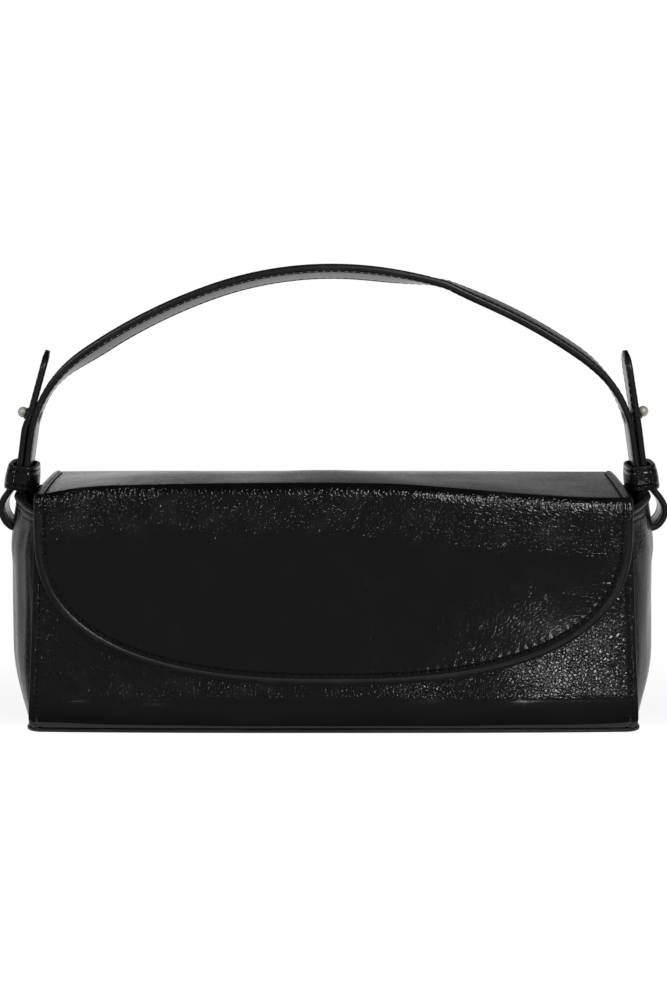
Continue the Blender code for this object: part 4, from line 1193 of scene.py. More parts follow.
@dataclass
class Shell:
    """The front, back and base panels with their painted edges and side stitching.

    Attributes:
        shop: The finishes.
        thread: The sewing down the panels' sides.
        edge_round: How far the painted edges round out.
        stitch_inset: The distance of the side stitching from the edge.
        base_corner: The radius of the base's corners.
        base_bow: How far the foot's front edge bows forward.
        bow_height: The height over which the bow fades.
        base_thickness: The thickness of the base.
        base_inset: How far the base's ends stay inside the gussets' foot.
        base_round: How far the base's edge rounds out.
    """

    shop: Workshop
    thread: Thread = Thread(pitch=2.6 * MM, length=1.9 * MM, radius=0.25 * MM, lift=0.05 * MM)
    edge_round: float = 0.35 * MM
    stitch_inset: float = 2.9 * MM
    base_corner: float = 7.0 * MM
    base_bow: float = 2.4 * MM
    bow_height: float = 34.0 * MM
    base_thickness: float = 1.6 * MM
    base_inset: float = 2.8 * MM
    base_round: float = 0.3 * MM

    def panel(self, names: tuple[str, str], side: float, top: float, rule: Callable, lift: float) -> int:
        """Makes one upright panel.

        Args:
            names: The piece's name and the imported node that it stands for.
            side: -1 for the front and 1 for the back.
            top: The height of the top edge.
            rule: The depth of the outer face at a height.
            lift: The height of the soft waves in the leather.

        Returns:
            The number of stitches.
        """
        heights = np.linspace(SHAPE.base_top, top, 46)
        across = np.sin(np.linspace(-1.0, 1.0, 121) * math.pi / 2.0 * 0.985)
        across = 0.5 * across / across[-1] + 0.5 * np.linspace(-1.0, 1.0, 121)
        halves = SHAPE.half(heights)[:, None]
        x = across[None, :] * halves
        z = np.repeat(heights[:, None], x.shape[1], axis=1)
        away = halves - np.abs(x)
        hold = ease(away, 0.0, 14.0 * MM) * ease(z, SHAPE.base_top, SHAPE.base_top + 9.0 * MM)
        soft = waves(x, z * 0.45, 46.0 * MM, 5 + int(side)) * lift * hold
        pinch = self.edge_round * (ease(away, 0.4 * MM, 5.0 * MM) - 1.0)
        bow = 0.0
        if side < 0.0:
            low = np.clip(1.0 - z / self.bow_height, 0.0, 1.0) ** 2
            bow = self.base_bow * low * (1.0 - np.abs(x / halves) ** 3)
        else:
            soft = soft * ease(top - z, 0.0, 12.0 * MM)
        y = side * (rule(z) + soft + bow + pinch)
        finish = SheetFinish(self.shop.shell, self.shop.edge, self.shop.lining)
        skin = finish.skin()
        rim = Rim(self.edge_round, flat_last=side > 0.0)
        add_sheet(skin, joined(x, y, z), SHAPE.panel, -side, rim, finish, (joined(x, z), joined(z, away)))
        count = 0
        for end in (-1.0, 1.0):
            shift = end * (halves[1:-1, 0] - self.stitch_inset)
            face = [np.interp(place, x[row], y[row]) for row, place in enumerate(shift, start=1)]
            line = joined(shift, np.array(face), heights[1:-1])
            count += self.thread.sew(skin, line, np.tile(side * ACROSS, (len(line), 1)), self.shop.thread)
        put_on(skin.build(names[0]), "bag", Place.SHELL, names[1])
        return count

    def base_outline(self) -> tuple[Array, Array]:
        """Gives the base's outline as X and Y, with its bow in front, and its middle."""
        half_x = float(SHAPE.reach(SHAPE.base_top)) - self.base_inset
        front, back = float(SHAPE.front(SHAPE.base_top)), float(SHAPE.back(SHAPE.base_top))
        centre, half_y = (back - front) / 2.0, (back + front) / 2.0
        corner = self.base_corner
        parts = []
        for turn, (side, end) in enumerate(((1, -1), (1, 1), (-1, 1), (-1, -1))):
            angles = (turn - 1.0) * math.pi / 2.0 + np.linspace(0.0, math.pi / 2.0, 11)
            x = side * (half_x - corner) + corner * np.cos(angles)
            parts.append(joined(x, centre + end * (half_y - corner) + corner * np.sin(angles)))
        straight = np.linspace(-1.0, 1.0, 22)[1:-1] * (half_x - corner)
        outline = np.concatenate(parts + [joined(straight, centre - half_y)])
        forward = np.clip(-outline[:, 1] / front, 0.0, 1.0) ** 4
        outline[:, 1] -= self.base_bow * forward * (1.0 - np.abs(outline[:, 0] / half_x) ** 3)
        return outline, np.array([0.0, centre])

    def base(self) -> None:
        """Makes the base panel."""
        outline, middle = self.base_outline()
        outward = unit(outline - outline.mean(axis=0))
        rings, spreads = [], []
        skin = Skin([self.shop.shell, self.shop.edge])

        def add_level(flat: Array, height: float, out: float = 0.0) -> None:
            """Adds a ring of points at a height."""
            ring = flat + outward * out
            rings.append(skin.add(joined(ring[:, 0], ring[:, 1], height)))
            spreads.append(flat)

        shares = (0.02, 0.3, 0.6, 0.85, 0.97, 1.0)
        levels = [middle + (outline - middle) * share for share in shares]
        for flat in levels:
            add_level(flat, self.base_thickness)
        rounding = 5
        for angle in np.linspace(0.0, math.pi, rounding + 1)[1:-1]:
            height = self.base_thickness / 2.0 * (1.0 + math.cos(angle))
            add_level(outline, height, self.base_round * math.sin(angle))
        for flat in levels[::-1]:
            add_level(flat, 0.0)
        numbers, spread = closed(np.stack(rings)), closed(np.stack(spreads))
        inner, outer = len(shares) - 1, len(shares) + rounding - 1
        finishes = (self.shop.shell, self.shop.edge, self.shop.shell)
        for first, last, finish in zip((0, inner, outer), (inner, outer, len(rings) - 1), finishes):
            skin.patch(numbers[first : last + 1], spread[first : last + 1], None, finish, flip=True)
        skin.cap(rings[0], self.shop.shell)
        skin.cap(rings[-1], self.shop.shell, flip=True)
        put_on(skin.build("base_sheet"), "bag", Place.SHELL, "base_panel")

    def make(self) -> None:
        """Makes the three panels."""
        names = ("front_sheet", "front_panel")
        stitches = self.panel(names, -1.0, SHAPE.front_top, SHAPE.front, 0.35 * MM)
        names = ("back_sheet", "back_panel")
        stitches += self.panel(names, 1.0, SHAPE.back_end, SHAPE.back, 0.5 * MM)
        self.base()
        LOG.info("shell: three panels, %d stitches", stitches)


@dataclass
class Gussets:
    """The soft bulging sides with their bound top edges and strap slots.

    Attributes:
        shop: The finishes.
        thickness: The leather's thickness.
        girth: The length of leather from the middle of the side to a seam.
        flange: How far the gusset runs in behind each panel.
        crease: The depth of the upright creases.
        bead: The radius of the binding.
        slot_height: The height of the strap slot.
        slot_half: Half the slot's width.
        slot_rise: How far the slot reaches above its height.
        slot_drop: How far it reaches below.
        patch_half: Half the width of the patch behind the slot.
        patch_rise: Half the patch's height.
    """

    shop: Workshop
    thickness: float = 1.4 * MM
    girth: float = 62.0 * MM
    flange: float = 3.0 * MM
    crease: float = 0.7 * MM
    bead: float = 1.7 * MM
    slot_height: float = 86.0 * MM
    slot_half: float = 10.75 * MM
    slot_rise: float = 4.4 * MM
    slot_drop: float = 2.2 * MM
    patch_half: float = 17.0 * MM
    patch_rise: float = 6.5 * MM

    def surface(self, turns: Array, shares: Array, sign: float) -> tuple[Array, Array]:
        """Gives the gusset's outer face with its creases.

        Args:
            turns: The turns round the side from seam to seam.
            shares: The shares of the height, from the foot to the top edge.
            sign: 1 for the right side and -1 for the left.

        Returns:
            The points and the leather's own coordinates.
        """
        turn, share = np.meshgrid(turns, shares)
        foot = SHAPE.base_top
        z = foot + (SHAPE.side_edge(turn) - foot) * share
        points = SHAPE.side(turn, z, 0.0)
        hold = ease(1.0 - np.abs(turn), 0.0, 0.28) * ease(share, 0.0, 0.12) * ease(1.0 - share, 0.0, 0.1)
        near_slot = ease(np.abs(z - self.slot_height), 6.0 * MM, 15.0 * MM)
        near_slot = np.maximum(near_slot, ease(np.abs(turn), 0.26, 0.42))
        run = turn * self.girth
        seed = 21 if sign > 0 else 34
        wave = waves(run, z * 0.55, 26.0 * MM, seed) - 0.6
        fold = -np.abs(waves(run * 1.3, z * 0.3, 38.0 * MM, seed + 1)) * 0.8
        inward = (wave * 0.55 + fold) * self.crease * hold * near_slot
        points = points + grid_normals(points, 1.0) * inward[..., None]
        return SHAPE.placed(points, sign), joined(run, z)

    def side(self, name: str, sign: float) -> None:
        """Makes one gusset with its slot.

        The front flange follows the front seam. The back flange's two columns stand two columns
        before the back seam, so that the leather is pleated there.

        Args:
            name: "left" or "right".
            sign: 1 for the right side and -1 for the left.
        """
        turns = np.sin(np.linspace(-1.0, 1.0, 61) * 1.18) / math.sin(1.18)
        points, spread = self.surface(turns, np.linspace(0.0, 1.0, 52), sign)
        columns = points.shape[1]
        for end, place, steps in ((0, 0, (1.0, 0.3)), (-1, columns, (0.3, 1.0))):
            shift = joined(-sign * self.flange * np.array(steps), 0.0, 0.0)
            points = np.insert(points, [place], points[:, [end]] + shift, axis=1)
            spread = np.insert(spread, [place], spread[:, [end, end]], axis=1)
        away = np.abs(points[..., 2] - points[-1, :, 2])
        finish = SheetFinish(self.shop.side, self.shop.edge, self.shop.lining)
        maps = (spread, joined(spread[..., 0], away))
        title = f"{name}_side_leather"
        obj = sheet_piece(title, points, self.thickness, sign, Rim(0.3 * MM, 4), finish, maps)
        carve(obj, self.slot_cutter(sign))
        put_on(obj, "bag", Place.SHELL, f"{name}_gusset")

    def slot_cutter(self, sign: float) -> bpy.types.Object:
        """Makes the closed cutter of the strap slot."""
        low, high = self.slot_height - self.slot_drop, self.slot_height + self.slot_rise
        half = self.slot_half
        ring = ((-half, low), (half, low), (half, high), (-half, high))
        corners = np.array([(sign * 120.0 * MM, y, z) for y, z in ring])[:: int(sign)]
        return slab(corners, np.array((sign * 40.0 * MM, 0.0, 0.0)), self.shop.edge, "slot_cutter")

    def patch(self, name: str, sign: float) -> None:
        """Makes the leather patch behind the slot."""
        reach = math.asin(self.patch_half / SHAPE.front_top_depth) / (math.pi / 2.0)
        rises = self.slot_height + np.linspace(-1.0, 1.0, 11) * self.patch_rise
        turn, z = np.meshgrid(np.linspace(-reach, reach, 25), rises)
        points = SHAPE.placed(SHAPE.side(turn, z, self.thickness + 0.3 * MM), sign)
        finish = SheetFinish(self.shop.side, self.shop.edge, self.shop.side)
        maps = (joined(turn * self.girth, z), None)
        title = f"{name}_slot_backing"
        obj = sheet_piece(title, points, 1.0 * MM, sign, Rim(0.25 * MM, 4), finish, maps)
        carve(obj, self.slot_cutter(sign))
        put_on(obj, "bag", Place.SHELL, f"{name}_slot_patch")

    def binding(self, name: str, sign: float) -> None:
        """Makes the rolled binding along the gusset's top edge."""
        turns = np.linspace(-0.94, 0.94, 81)
        z = SHAPE.side_edge(turns) + 0.3 * MM + self.bead
        line = SHAPE.placed(SHAPE.side(turns, z, self.thickness / 2.0), sign)
        ahead = unit(np.gradient(line, axis=0))
        aside = unit(np.cross(ahead, UP))[:, None]
        up = np.cross(aside[:, 0], ahead)[:, None]
        angles = circle(14)[None, :, None]
        uneven = 1.0 + 0.05 * waves(turns * 60.0 * MM, turns * 0.0, 9.0 * MM, 9)
        around = aside * np.cos(angles) + up * np.sin(angles)
        skin = Skin([self.shop.edge])
        numbers = skin.add(line[:, None] + self.bead * uneven[:, None, None] * around)
        spread = pairs(np.linspace(0.0, 8.0 * MM, 15), run_lengths(line))
        skin.patch(closed(numbers), spread, None, self.shop.edge, flip=True)
        skin.cap(numbers[0], self.shop.edge)
        skin.cap(numbers[-1], self.shop.edge, flip=True)
        put_on(skin.build(f"{name}_side_binding"), "bag", Place.EDGE, f"{name}_gusset_binding")

    def make(self) -> None:
        """Makes both sides."""
        for name, sign in SIDES:
            self.side(name, sign)
            self.patch(name, sign)
            self.binding(name, sign)
        LOG.info("gussets: two sides with slots, backings and bindings")


@dataclass
class Inside:
    """The cloth linings and the pocket.

    Attributes:
        shop: The finishes.
        rim: The rounding of the cloth's edges.
        offset: How far the linings lie inside the panels' faces.
        side_offset: How far they lie inside the gussets' faces.
        side_foot: The height of the side linings' foot.
        side_top: The height of their top edge.
        side_girth: The length of cloth from the middle of a side to a seam.
        half_width: Half the long lining's width.
        top: The height of its ends.
        corner: The radius of its turns at the floor.
        cloth: The cloth's thickness.
        pocket_corner: The radius of the pocket's corners.
        hem: The thickness of the hem at the pocket's mouth.
    """

    shop: Workshop
    rim: Rim = Rim(0.15 * MM, 3)
    offset: float = 3.2 * MM
    side_offset: float = 3.6 * MM
    side_foot: float = 7.9 * MM
    side_top: float = 79.0 * MM
    side_girth: float = 60.0 * MM
    half_width: float = 121.0 * MM
    top: float = 95.0 * MM
    corner: float = 5.0 * MM
    cloth: float = 0.8 * MM
    pocket_corner: float = 8.0 * MM
    hem: float = 0.35 * MM

    def finish(self) -> SheetFinish:
        """Gives the cloth for all sides of a sheet."""
        return SheetFinish(self.shop.lining, self.shop.lining, self.shop.lining)

    def half_path(self, rule: Callable, side: float) -> Array:
        """Gives a wall of the long lining from its top down to the floor, as Y and Z."""
        heights = np.linspace(self.top, self.offset + self.corner, 26)
        wall = joined(side * (rule(heights) - self.offset), heights)
        angles = np.linspace(0.0, math.pi / 2.0, 8)[1:]
        y = wall[-1, 0] - side * self.corner * (1.0 - np.cos(angles))
        return np.concatenate([wall, joined(y, self.offset + self.corner * (1.0 - np.sin(angles)))])

    def body(self) -> None:
        """Makes the one long lining from the front top over the floor to the back top."""
        front = self.half_path(SHAPE.front, -1.0)
        back = self.half_path(SHAPE.back, 1.0)[::-1]
        path = np.concatenate([front, np.linspace(front[-1], back[0], 18)[1:-1], back])
        x = np.linspace(-self.half_width, self.half_width, 70)
        grid = joined(x[None], path[:, :1], path[:, 1:])
        maps = (pairs(x, run_lengths(path)), None)
        obj = sheet_piece("body_lining_cloth", grid, self.cloth, -1.0, self.rim, self.finish(), maps)
        put_on(obj, "bag", Place.LINING, "body_lining")

    def side(self, name: str, sign: float) -> None:
        """Makes one side's lining; the sign is taken twice, so the left one lies on the right."""
        heights = np.linspace(self.side_foot, self.side_top, 26)
        turn, z = np.meshgrid(np.linspace(-0.86, 0.86, 34), heights)
        points = SHAPE.placed(SHAPE.side(turn, z, self.side_offset), sign)
        points[..., 0] *= sign
        maps = (joined(turn * self.side_girth, z), None)
        title = f"{name}_side_lining_cloth"
        obj = sheet_piece(title, points, self.cloth, sign, self.rim, self.finish(), maps)
        put_on(obj, "bag", Place.LINING, f"{name}_gusset_lining")

    def pocket(self) -> None:
        """Makes the slip pocket on the back lining, with a hem at its mouth."""
        low_corner, high_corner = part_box("inner_pocket")
        width = (high_corner[0] - low_corner[0]) / 2.0
        bottom, top = low_corner[2], high_corner[2]
        x, z = np.meshgrid(np.linspace(-width, width, 60), np.linspace(bottom, top, 28))
        corner = self.pocket_corner
        rise = np.clip(corner - (z - bottom), 0.0, corner)
        limit = width - corner + np.sqrt(np.maximum(corner**2 - rise**2, 0.0))
        x = np.clip(x, -limit, limit)
        wall = SHAPE.back(z) - self.offset - self.cloth - 0.3 * MM
        finish = self.finish()
        skin = finish.skin()
        bulge = 0.7 * MM * ease(top - z, 0.0, 12.0 * MM) * np.cos(x / width * math.pi / 2.0)
        hem = self.hem * (1.0 - ease(top - z, 5.0 * MM, 6.2 * MM))
        for depth, swell in ((0.0, 0.0), (1.7 * MM, 1.0)):
            grid = joined(x, wall - depth - swell * (bulge + hem) * 0.5, z)
            add_sheet(skin, grid, self.cloth, -1.0, self.rim, finish, (joined(x, z), None))
        put_on(skin.build("inner_pocket_cloth"), "bag", Place.LINING, "inner_pocket")

    def make(self) -> None:
        """Makes the linings and the pocket."""
        self.body()
        for name, sign in SIDES:
            self.side(name, sign)
        self.pocket()
        LOG.info("inside: three linings and a pocket")


# The flap


@dataclass
class Flap:
    """The flap from the back ridge over the top and down the front.

    Attributes:
        shop: The finishes.
        ridge: Places along the front ridge as (x, height), before smoothing.
        fold: How far the front fold reaches forward, as (x, reach).
        fall: How far the front fold reaches down, as (x, fall).
        back_height: The height of the top at the back ridge.
        dome: How much the top is rounded from back to front.
        half: Half the flap's width.
        shoulder: The height where the drop's curved edge begins.
        tip: The height of the drop's lowest point.
        power: The power of the drop's curved outline.
        thickness: The flap's thickness with its lining.
        stand: How far the drop's outer face stands off the front panel's.
        bead_width: The width of the rolled edge.
        bead_rise: How far the rolled edge stands up.
        stitch_inset: The distance of the stitching from the edge.
        join: Where the flap goes over into the ridge fold.
        back_edge: How far the back ridge stands from the middle plane.
        back_fold: The radius of the back ridge.
        wave: The height of the soft waves in the leather.
        snap_height: The height of the hidden snap, where the leather lies flat.
        painted_from: The run down the flap from where its rolled edge is painted.
    """

    shop: Workshop
    ridge: tuple[tuple[float, float], ...] = (
        (-134.0, 106.8), (-126.0, 109.0), (-117.0, 110.9), (-102.0, 112.2), (-60.0, 113.0), (0.0, 113.4),
        (30.0, 112.8), (52.0, 111.0), (83.0, 108.4), (100.0, 107.2), (117.0, 106.4), (134.0, 106.6),
    )
    fold: tuple[tuple[float, float], ...] = (
        (-134.0, 3.2), (-100.0, 3.4), (-30.0, 5.0), (60.0, 5.2), (134.0, 4.6),
    )
    fall: tuple[tuple[float, float], ...] = (
        (-134.0, 6.0), (-125.0, 7.5), (-95.0, 7.0), (-40.0, 6.0), (30.0, 6.5), (65.0, 10.0), (90.0, 13.0),
        (118.0, 13.5), (134.0, 9.0),
    )
    back_height: float = 107.7 * MM
    dome: float = 0.9 * MM
    half: float = 132.2 * MM
    shoulder: float = 92.0 * MM
    tip: float = 23.2 * MM
    power: float = 2.5
    thickness: float = 2.6 * MM
    stand: float = 2.9 * MM
    bead_width: float = 2.4 * MM
    bead_rise: float = 0.42 * MM
    stitch_inset: float = 4.0 * MM
    join: float = 30.0 * MM
    back_edge: float = 39.7 * MM
    back_fold: float = 3.4 * MM
    wave: float = 0.4 * MM
    snap_height: float = 44.0 * MM
    painted_from: float = 80.0 * MM

    def along(self, table: Sequence[tuple[float, float]], x: Array) -> Array:
        """Gives smoothed values of a table of places in millimetres."""
        marks = np.linspace(-self.half, self.half, 135)
        places = np.array(table) * MM
        values = np.interp(marks, places[:, 0], places[:, 1])
        padded = np.pad(values, 8, mode="edge")
        kernel = np.hanning(19)[1:-1]
        values = np.convolve(padded, kernel / kernel.sum(), mode="same")[8:-8]
        return np.interp(x, marks, values)

    def front_line(self, x: Array) -> tuple[Array, Array, Array, Array]:
        """Gives the ridge's height, the fold's reach and fall, and where the fold starts."""
        height, radius = self.along(self.ridge, x), self.along(self.fold, x)
        start = -(float(SHAPE.front(SHAPE.front_top)) + self.stand - radius)
        return height, radius, self.along(self.fall, x), start

    def top_height(self, x: Array, y: Array) -> Array:
        """Gives the height of the top's outer face."""
        height, _, _, start = self.front_line(x)
        share = np.clip((self.back_edge - y) / (self.back_edge - start), 0.0, 1.0)
        hold = ease(self.half - np.abs(x), 0.0, 22.0 * MM) * np.sin(share * math.pi)
        soft = waves(x, y, 58.0 * MM, 3) * self.wave * hold
        rise = (height - self.back_height) * np.sin(share * math.pi / 2.0)
        return self.back_height + rise + self.dome * np.sin(share * math.pi) ** 0.8 + soft

    def edge_line(self) -> Array:
        """Gives the drop's outline as X and Z, from the left shoulder to the right one."""
        turn = np.linspace(-math.pi / 2.0, math.pi / 2.0, 1201)
        x = self.half * np.sign(turn) * np.abs(np.sin(turn)) ** (2.0 / self.power)
        z = self.shoulder - (self.shoulder - self.tip) * np.abs(np.cos(turn)) ** (2.0 / self.power)
        return joined(x, z)

    def whole_line(self) -> Array:
        """Gives the outline with the straight sides above it."""
        above = 118.0 * MM
        up = np.linspace(above, self.shoulder, 40)[:-1]
        return np.concatenate([joined(-self.half, up), self.edge_line(), joined(self.half, up)[::-1]])

    def edge_distance(self, x: Array, z: Array) -> tuple[Array, Array]:
        """Gives the distance from the drop's edge and the run along it."""
        line = self.whole_line()
        lengths = run_lengths(line)
        away, run = np.empty(x.shape), np.empty(x.shape)
        for row in range(len(x)):
            gaps = np.linalg.norm(joined(x[row], z[row])[:, None] - line[None], axis=2)
            away[row] = gaps.min(axis=1)
            run[row] = lengths[gaps.argmin(axis=1)]
        return away, np.minimum(run, lengths[-1] - run)

    def bead(self, away: Array) -> Array:
        """Gives how far the rolled edge stands up at a distance from the edge."""
        share = np.clip(away / self.bead_width, 0.0, 1.0)
        roll = np.sqrt(np.maximum(1.0 - (2.0 * share - 1.0) ** 2, 0.0))
        groove = -0.18 * MM * np.exp(-(((away - self.bead_width - 0.25 * MM) / (0.4 * MM)) ** 2))
        return self.bead_rise * roll * (share < 1.0) + groove

    def drop_depth(self, x: Array, z: Array) -> Array:
        """Gives how far the drop's outer face stands from the middle plane."""
        away = self.half - np.abs(x)
        hold = ease(away, 0.0, 16.0 * MM) * ease(z, self.tip, self.tip + 26.0 * MM)
        snap = np.hypot(x, z - self.snap_height)
        hold = hold * ease(snap, 9.0 * MM, 26.0 * MM) * ease(108.0 * MM - z, 0.0, 12.0 * MM)
        return SHAPE.front(z) + self.stand + waves(x, z * 0.5, 64.0 * MM, 8) * self.wave * 0.7 * hold

    def fold_arc(self, x: Array, angles: Array) -> Array:
        """Gives the front fold's points from the top round to the front."""
        height, radius, fall, start = self.front_line(x)
        return joined(x, start - radius * np.sin(angles), height - fall * (1.0 - np.cos(angles)))

    def grid(self) -> tuple[Array, Array, Array, Array]:
        """Makes the flap's face.

        Returns:
            The points, the leather's own coordinates, the seam coordinates and the normals.
        """
        line = self.edge_line()
        columns = resample(joined(line[:, 0], 0.0, line[:, 1]), 1.9 * MM)
        columns[0, 0], columns[-1, 0] = -self.half, self.half
        x, ends = columns[:, 0], columns[:, 2]
        slope = np.abs(np.gradient(ends) / np.maximum(np.abs(np.gradient(x)), 1e-6))
        height, _, fall, start = self.front_line(x)
        top_y = self.join + (start - self.join) * np.linspace(0.0, 1.0, 30)[:, None]
        top = joined(x, top_y, self.top_height(x, top_y))
        arc = self.fold_arc(x, np.linspace(0.0, math.pi / 2.0, 19)[1:, None])
        offsets = np.array((0.0, 0.3, 0.75, 1.25, 1.8, 2.35, 2.9, 3.6, 4.6)) * MM
        steep = np.minimum(np.sqrt(1.0 + slope**2), 3.0)
        room = (height - fall) - ends
        near_edge = offsets[:, None] * np.minimum(steep, 0.42 * room / offsets[-1])
        rest = np.linspace(0.0, 1.0, 42)[1:-1, None]
        upper = height - fall
        lower = ends + near_edge[-1]
        z = np.concatenate([upper + (lower - upper) * rest, ends + near_edge[::-1]])
        wide = np.repeat(x[None], len(z), axis=0)
        drop = joined(wide, -self.drop_depth(wide, z), z)
        away_drop, run_drop = self.edge_distance(wide, z)
        points = np.concatenate([top, arc, drop])
        run = down_lengths(points)
        upper_rows = len(top) + len(arc)
        away_top = np.repeat((self.half - np.abs(x))[None], upper_rows, axis=0)
        away = np.concatenate([away_top, away_drop])
        shift = run[upper_rows - 1].mean() - run_drop[0].mean()
        seam_run = np.concatenate([run[:upper_rows], run_drop + shift])
        normals = grid_normals(points, -1.0)
        step = 0.5 * MM
        lean_x = self.drop_depth(wide + step, z) - self.drop_depth(wide - step, z)
        lean_z = self.drop_depth(wide, z + step) - self.drop_depth(wide, z - step)
        normals[upper_rows:] = -unit(joined(lean_x, 2.0 * step, lean_z))
        points = points + normals * self.bead(away)[..., None]
        return points, joined(points[..., 0], run), joined(seam_run, away), normals

    def seam_line(self) -> tuple[Array, Array]:
        """Gives the stitching line on the face and its outward normals."""
        x = self.half - self.stitch_inset
        points, normals = [], []
        for sign in (-1.0, 1.0):
            side = np.array([sign * x])
            height, _, fall, start = self.front_line(side)
            y = np.linspace(self.join - 1.0 * MM, float(start[0]), 60)
            angles = np.linspace(0.0, math.pi / 2.0, 14)[1:]
            z = np.linspace(float(height[0] - fall[0]), self.shoulder, 12)[1:-1]
            top = joined(side, y, self.top_height(side, y))
            down = joined(side, -self.drop_depth(side, z), z)
            points.append(np.concatenate([top, self.fold_arc(side, angles), down]))
            turned = joined(0.0, -np.sin(angles), np.cos(angles))
            normals.append(
                np.concatenate([np.tile(UP, (len(top), 1)), turned, np.tile(-ACROSS, (len(down), 1))])
            )
        line = self.edge_line()[::6]
        ahead = unit(np.gradient(line, axis=0))
        inner = line + joined(-ahead[:, 1], ahead[:, 0]) * self.stitch_inset
        inner = inner[(np.abs(inner[:, 0]) < x + 0.02 * MM) & (inner[:, 1] < self.shoulder)]
        curve = joined(inner[:, 0], -self.drop_depth(inner[:, 0], inner[:, 1]), inner[:, 1])
        forward = np.tile(-ACROSS, (len(curve), 1))
        return (
            np.concatenate([points[0], curve, points[1][::-1]]),
            np.concatenate([normals[0], forward, normals[1][::-1]]),
        )

    def make_sheet(self) -> int:
        """Makes the flap and its stitching.

        Returns:
            The number of stitches.
        """
        points, spread, seam, normals = self.grid()
        finish = SheetFinish(self.shop.flap, self.shop.edge, self.shop.lining)
        skin = finish.skin()
        rim = Rim(0.7 * MM, flat_first=True)
        add_sheet(skin, points, self.thickness, -1.0, rim, finish, (spread, seam), normals)
        self.paint_bead(skin)
        line, normals = self.seam_line()
        count = Thread().sew(skin, line, normals, self.shop.thread)
        obj = skin.build("flap_sheet")
        put_on(obj, None, Place.SHELL, "flap_top", "flap_top_lining", "flap_front", "flap_front_lining")
        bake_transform(obj)
        return count

    def paint_bead(self, skin: Skin) -> None:
        """Gives the rolled edge of the face the edge paint."""
        slot = skin.slot_of(self.shop.edge)
        away = skin.seam_map[0][..., 1].mean(axis=1)
        hanging = skin.skin_map[0][..., 1].mean(axis=1) > self.painted_from
        skin.slots[0] = np.where((away < self.bead_width) & hanging, slot, skin.slots[0])

    def make_ridge(self) -> None:
        """Makes the fold of leather between the back panel and the flap."""
        share = np.linspace(-1.0, 1.0, 121)
        x = (0.4 * share + 0.6 * np.sin(share * math.pi / 2.0)) * self.half
        arc_start = self.back_edge - self.back_fold
        crest = self.top_height(x, arc_start) - self.back_fold
        rise = np.linspace(0.0, 1.0, 7)[:, None]
        z = SHAPE.back_end + (crest - SHAPE.back_end) * rise
        limit = SHAPE.half(z)
        wide = x * (limit + (self.half - limit) * rise) / self.half
        wall = SHAPE.back(z)
        upright = joined(wide, wall + (self.back_edge - wall) * ease(rise, 0.0, 1.0), z)
        angles = np.linspace(0.0, math.pi / 2.0, 9)[1:, None]
        arc = joined(x, arc_start + self.back_fold * np.cos(angles), crest + self.back_fold * np.sin(angles))
        y = np.linspace(arc_start, self.join, 6)[1:, None]
        points = np.concatenate([upright, arc, joined(x, y, self.top_height(x, y))])
        run = down_lengths(points)
        run = run - run[-1:]
        away = np.abs(points[:, :1, 0]) - np.abs(points[..., 0])
        bead = self.bead(away) * ease(run, -14.0 * MM, -9.0 * MM)
        points = points + grid_normals(points, -1.0) * bead[..., None]
        finish = SheetFinish(self.shop.flap, self.shop.edge, self.shop.lining)
        rim = Rim(0.5 * MM, flat_first=True, flat_last=True)
        depth = np.linspace(SHAPE.panel, self.thickness, len(points))[:, None]
        maps = (joined(points[..., 0], run), joined(run, away))
        obj = sheet_piece("back_ridge_fold", points, depth, -1.0, rim, finish, maps)
        put_on(obj, None, Place.SHELL)
        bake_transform(obj)

    def make(self) -> None:
        """Makes the flap."""
        stitches = self.make_sheet()
        self.make_ridge()
        LOG.info("flap: one folded sheet and its ridge fold, %d stitches", stitches)


# The strap


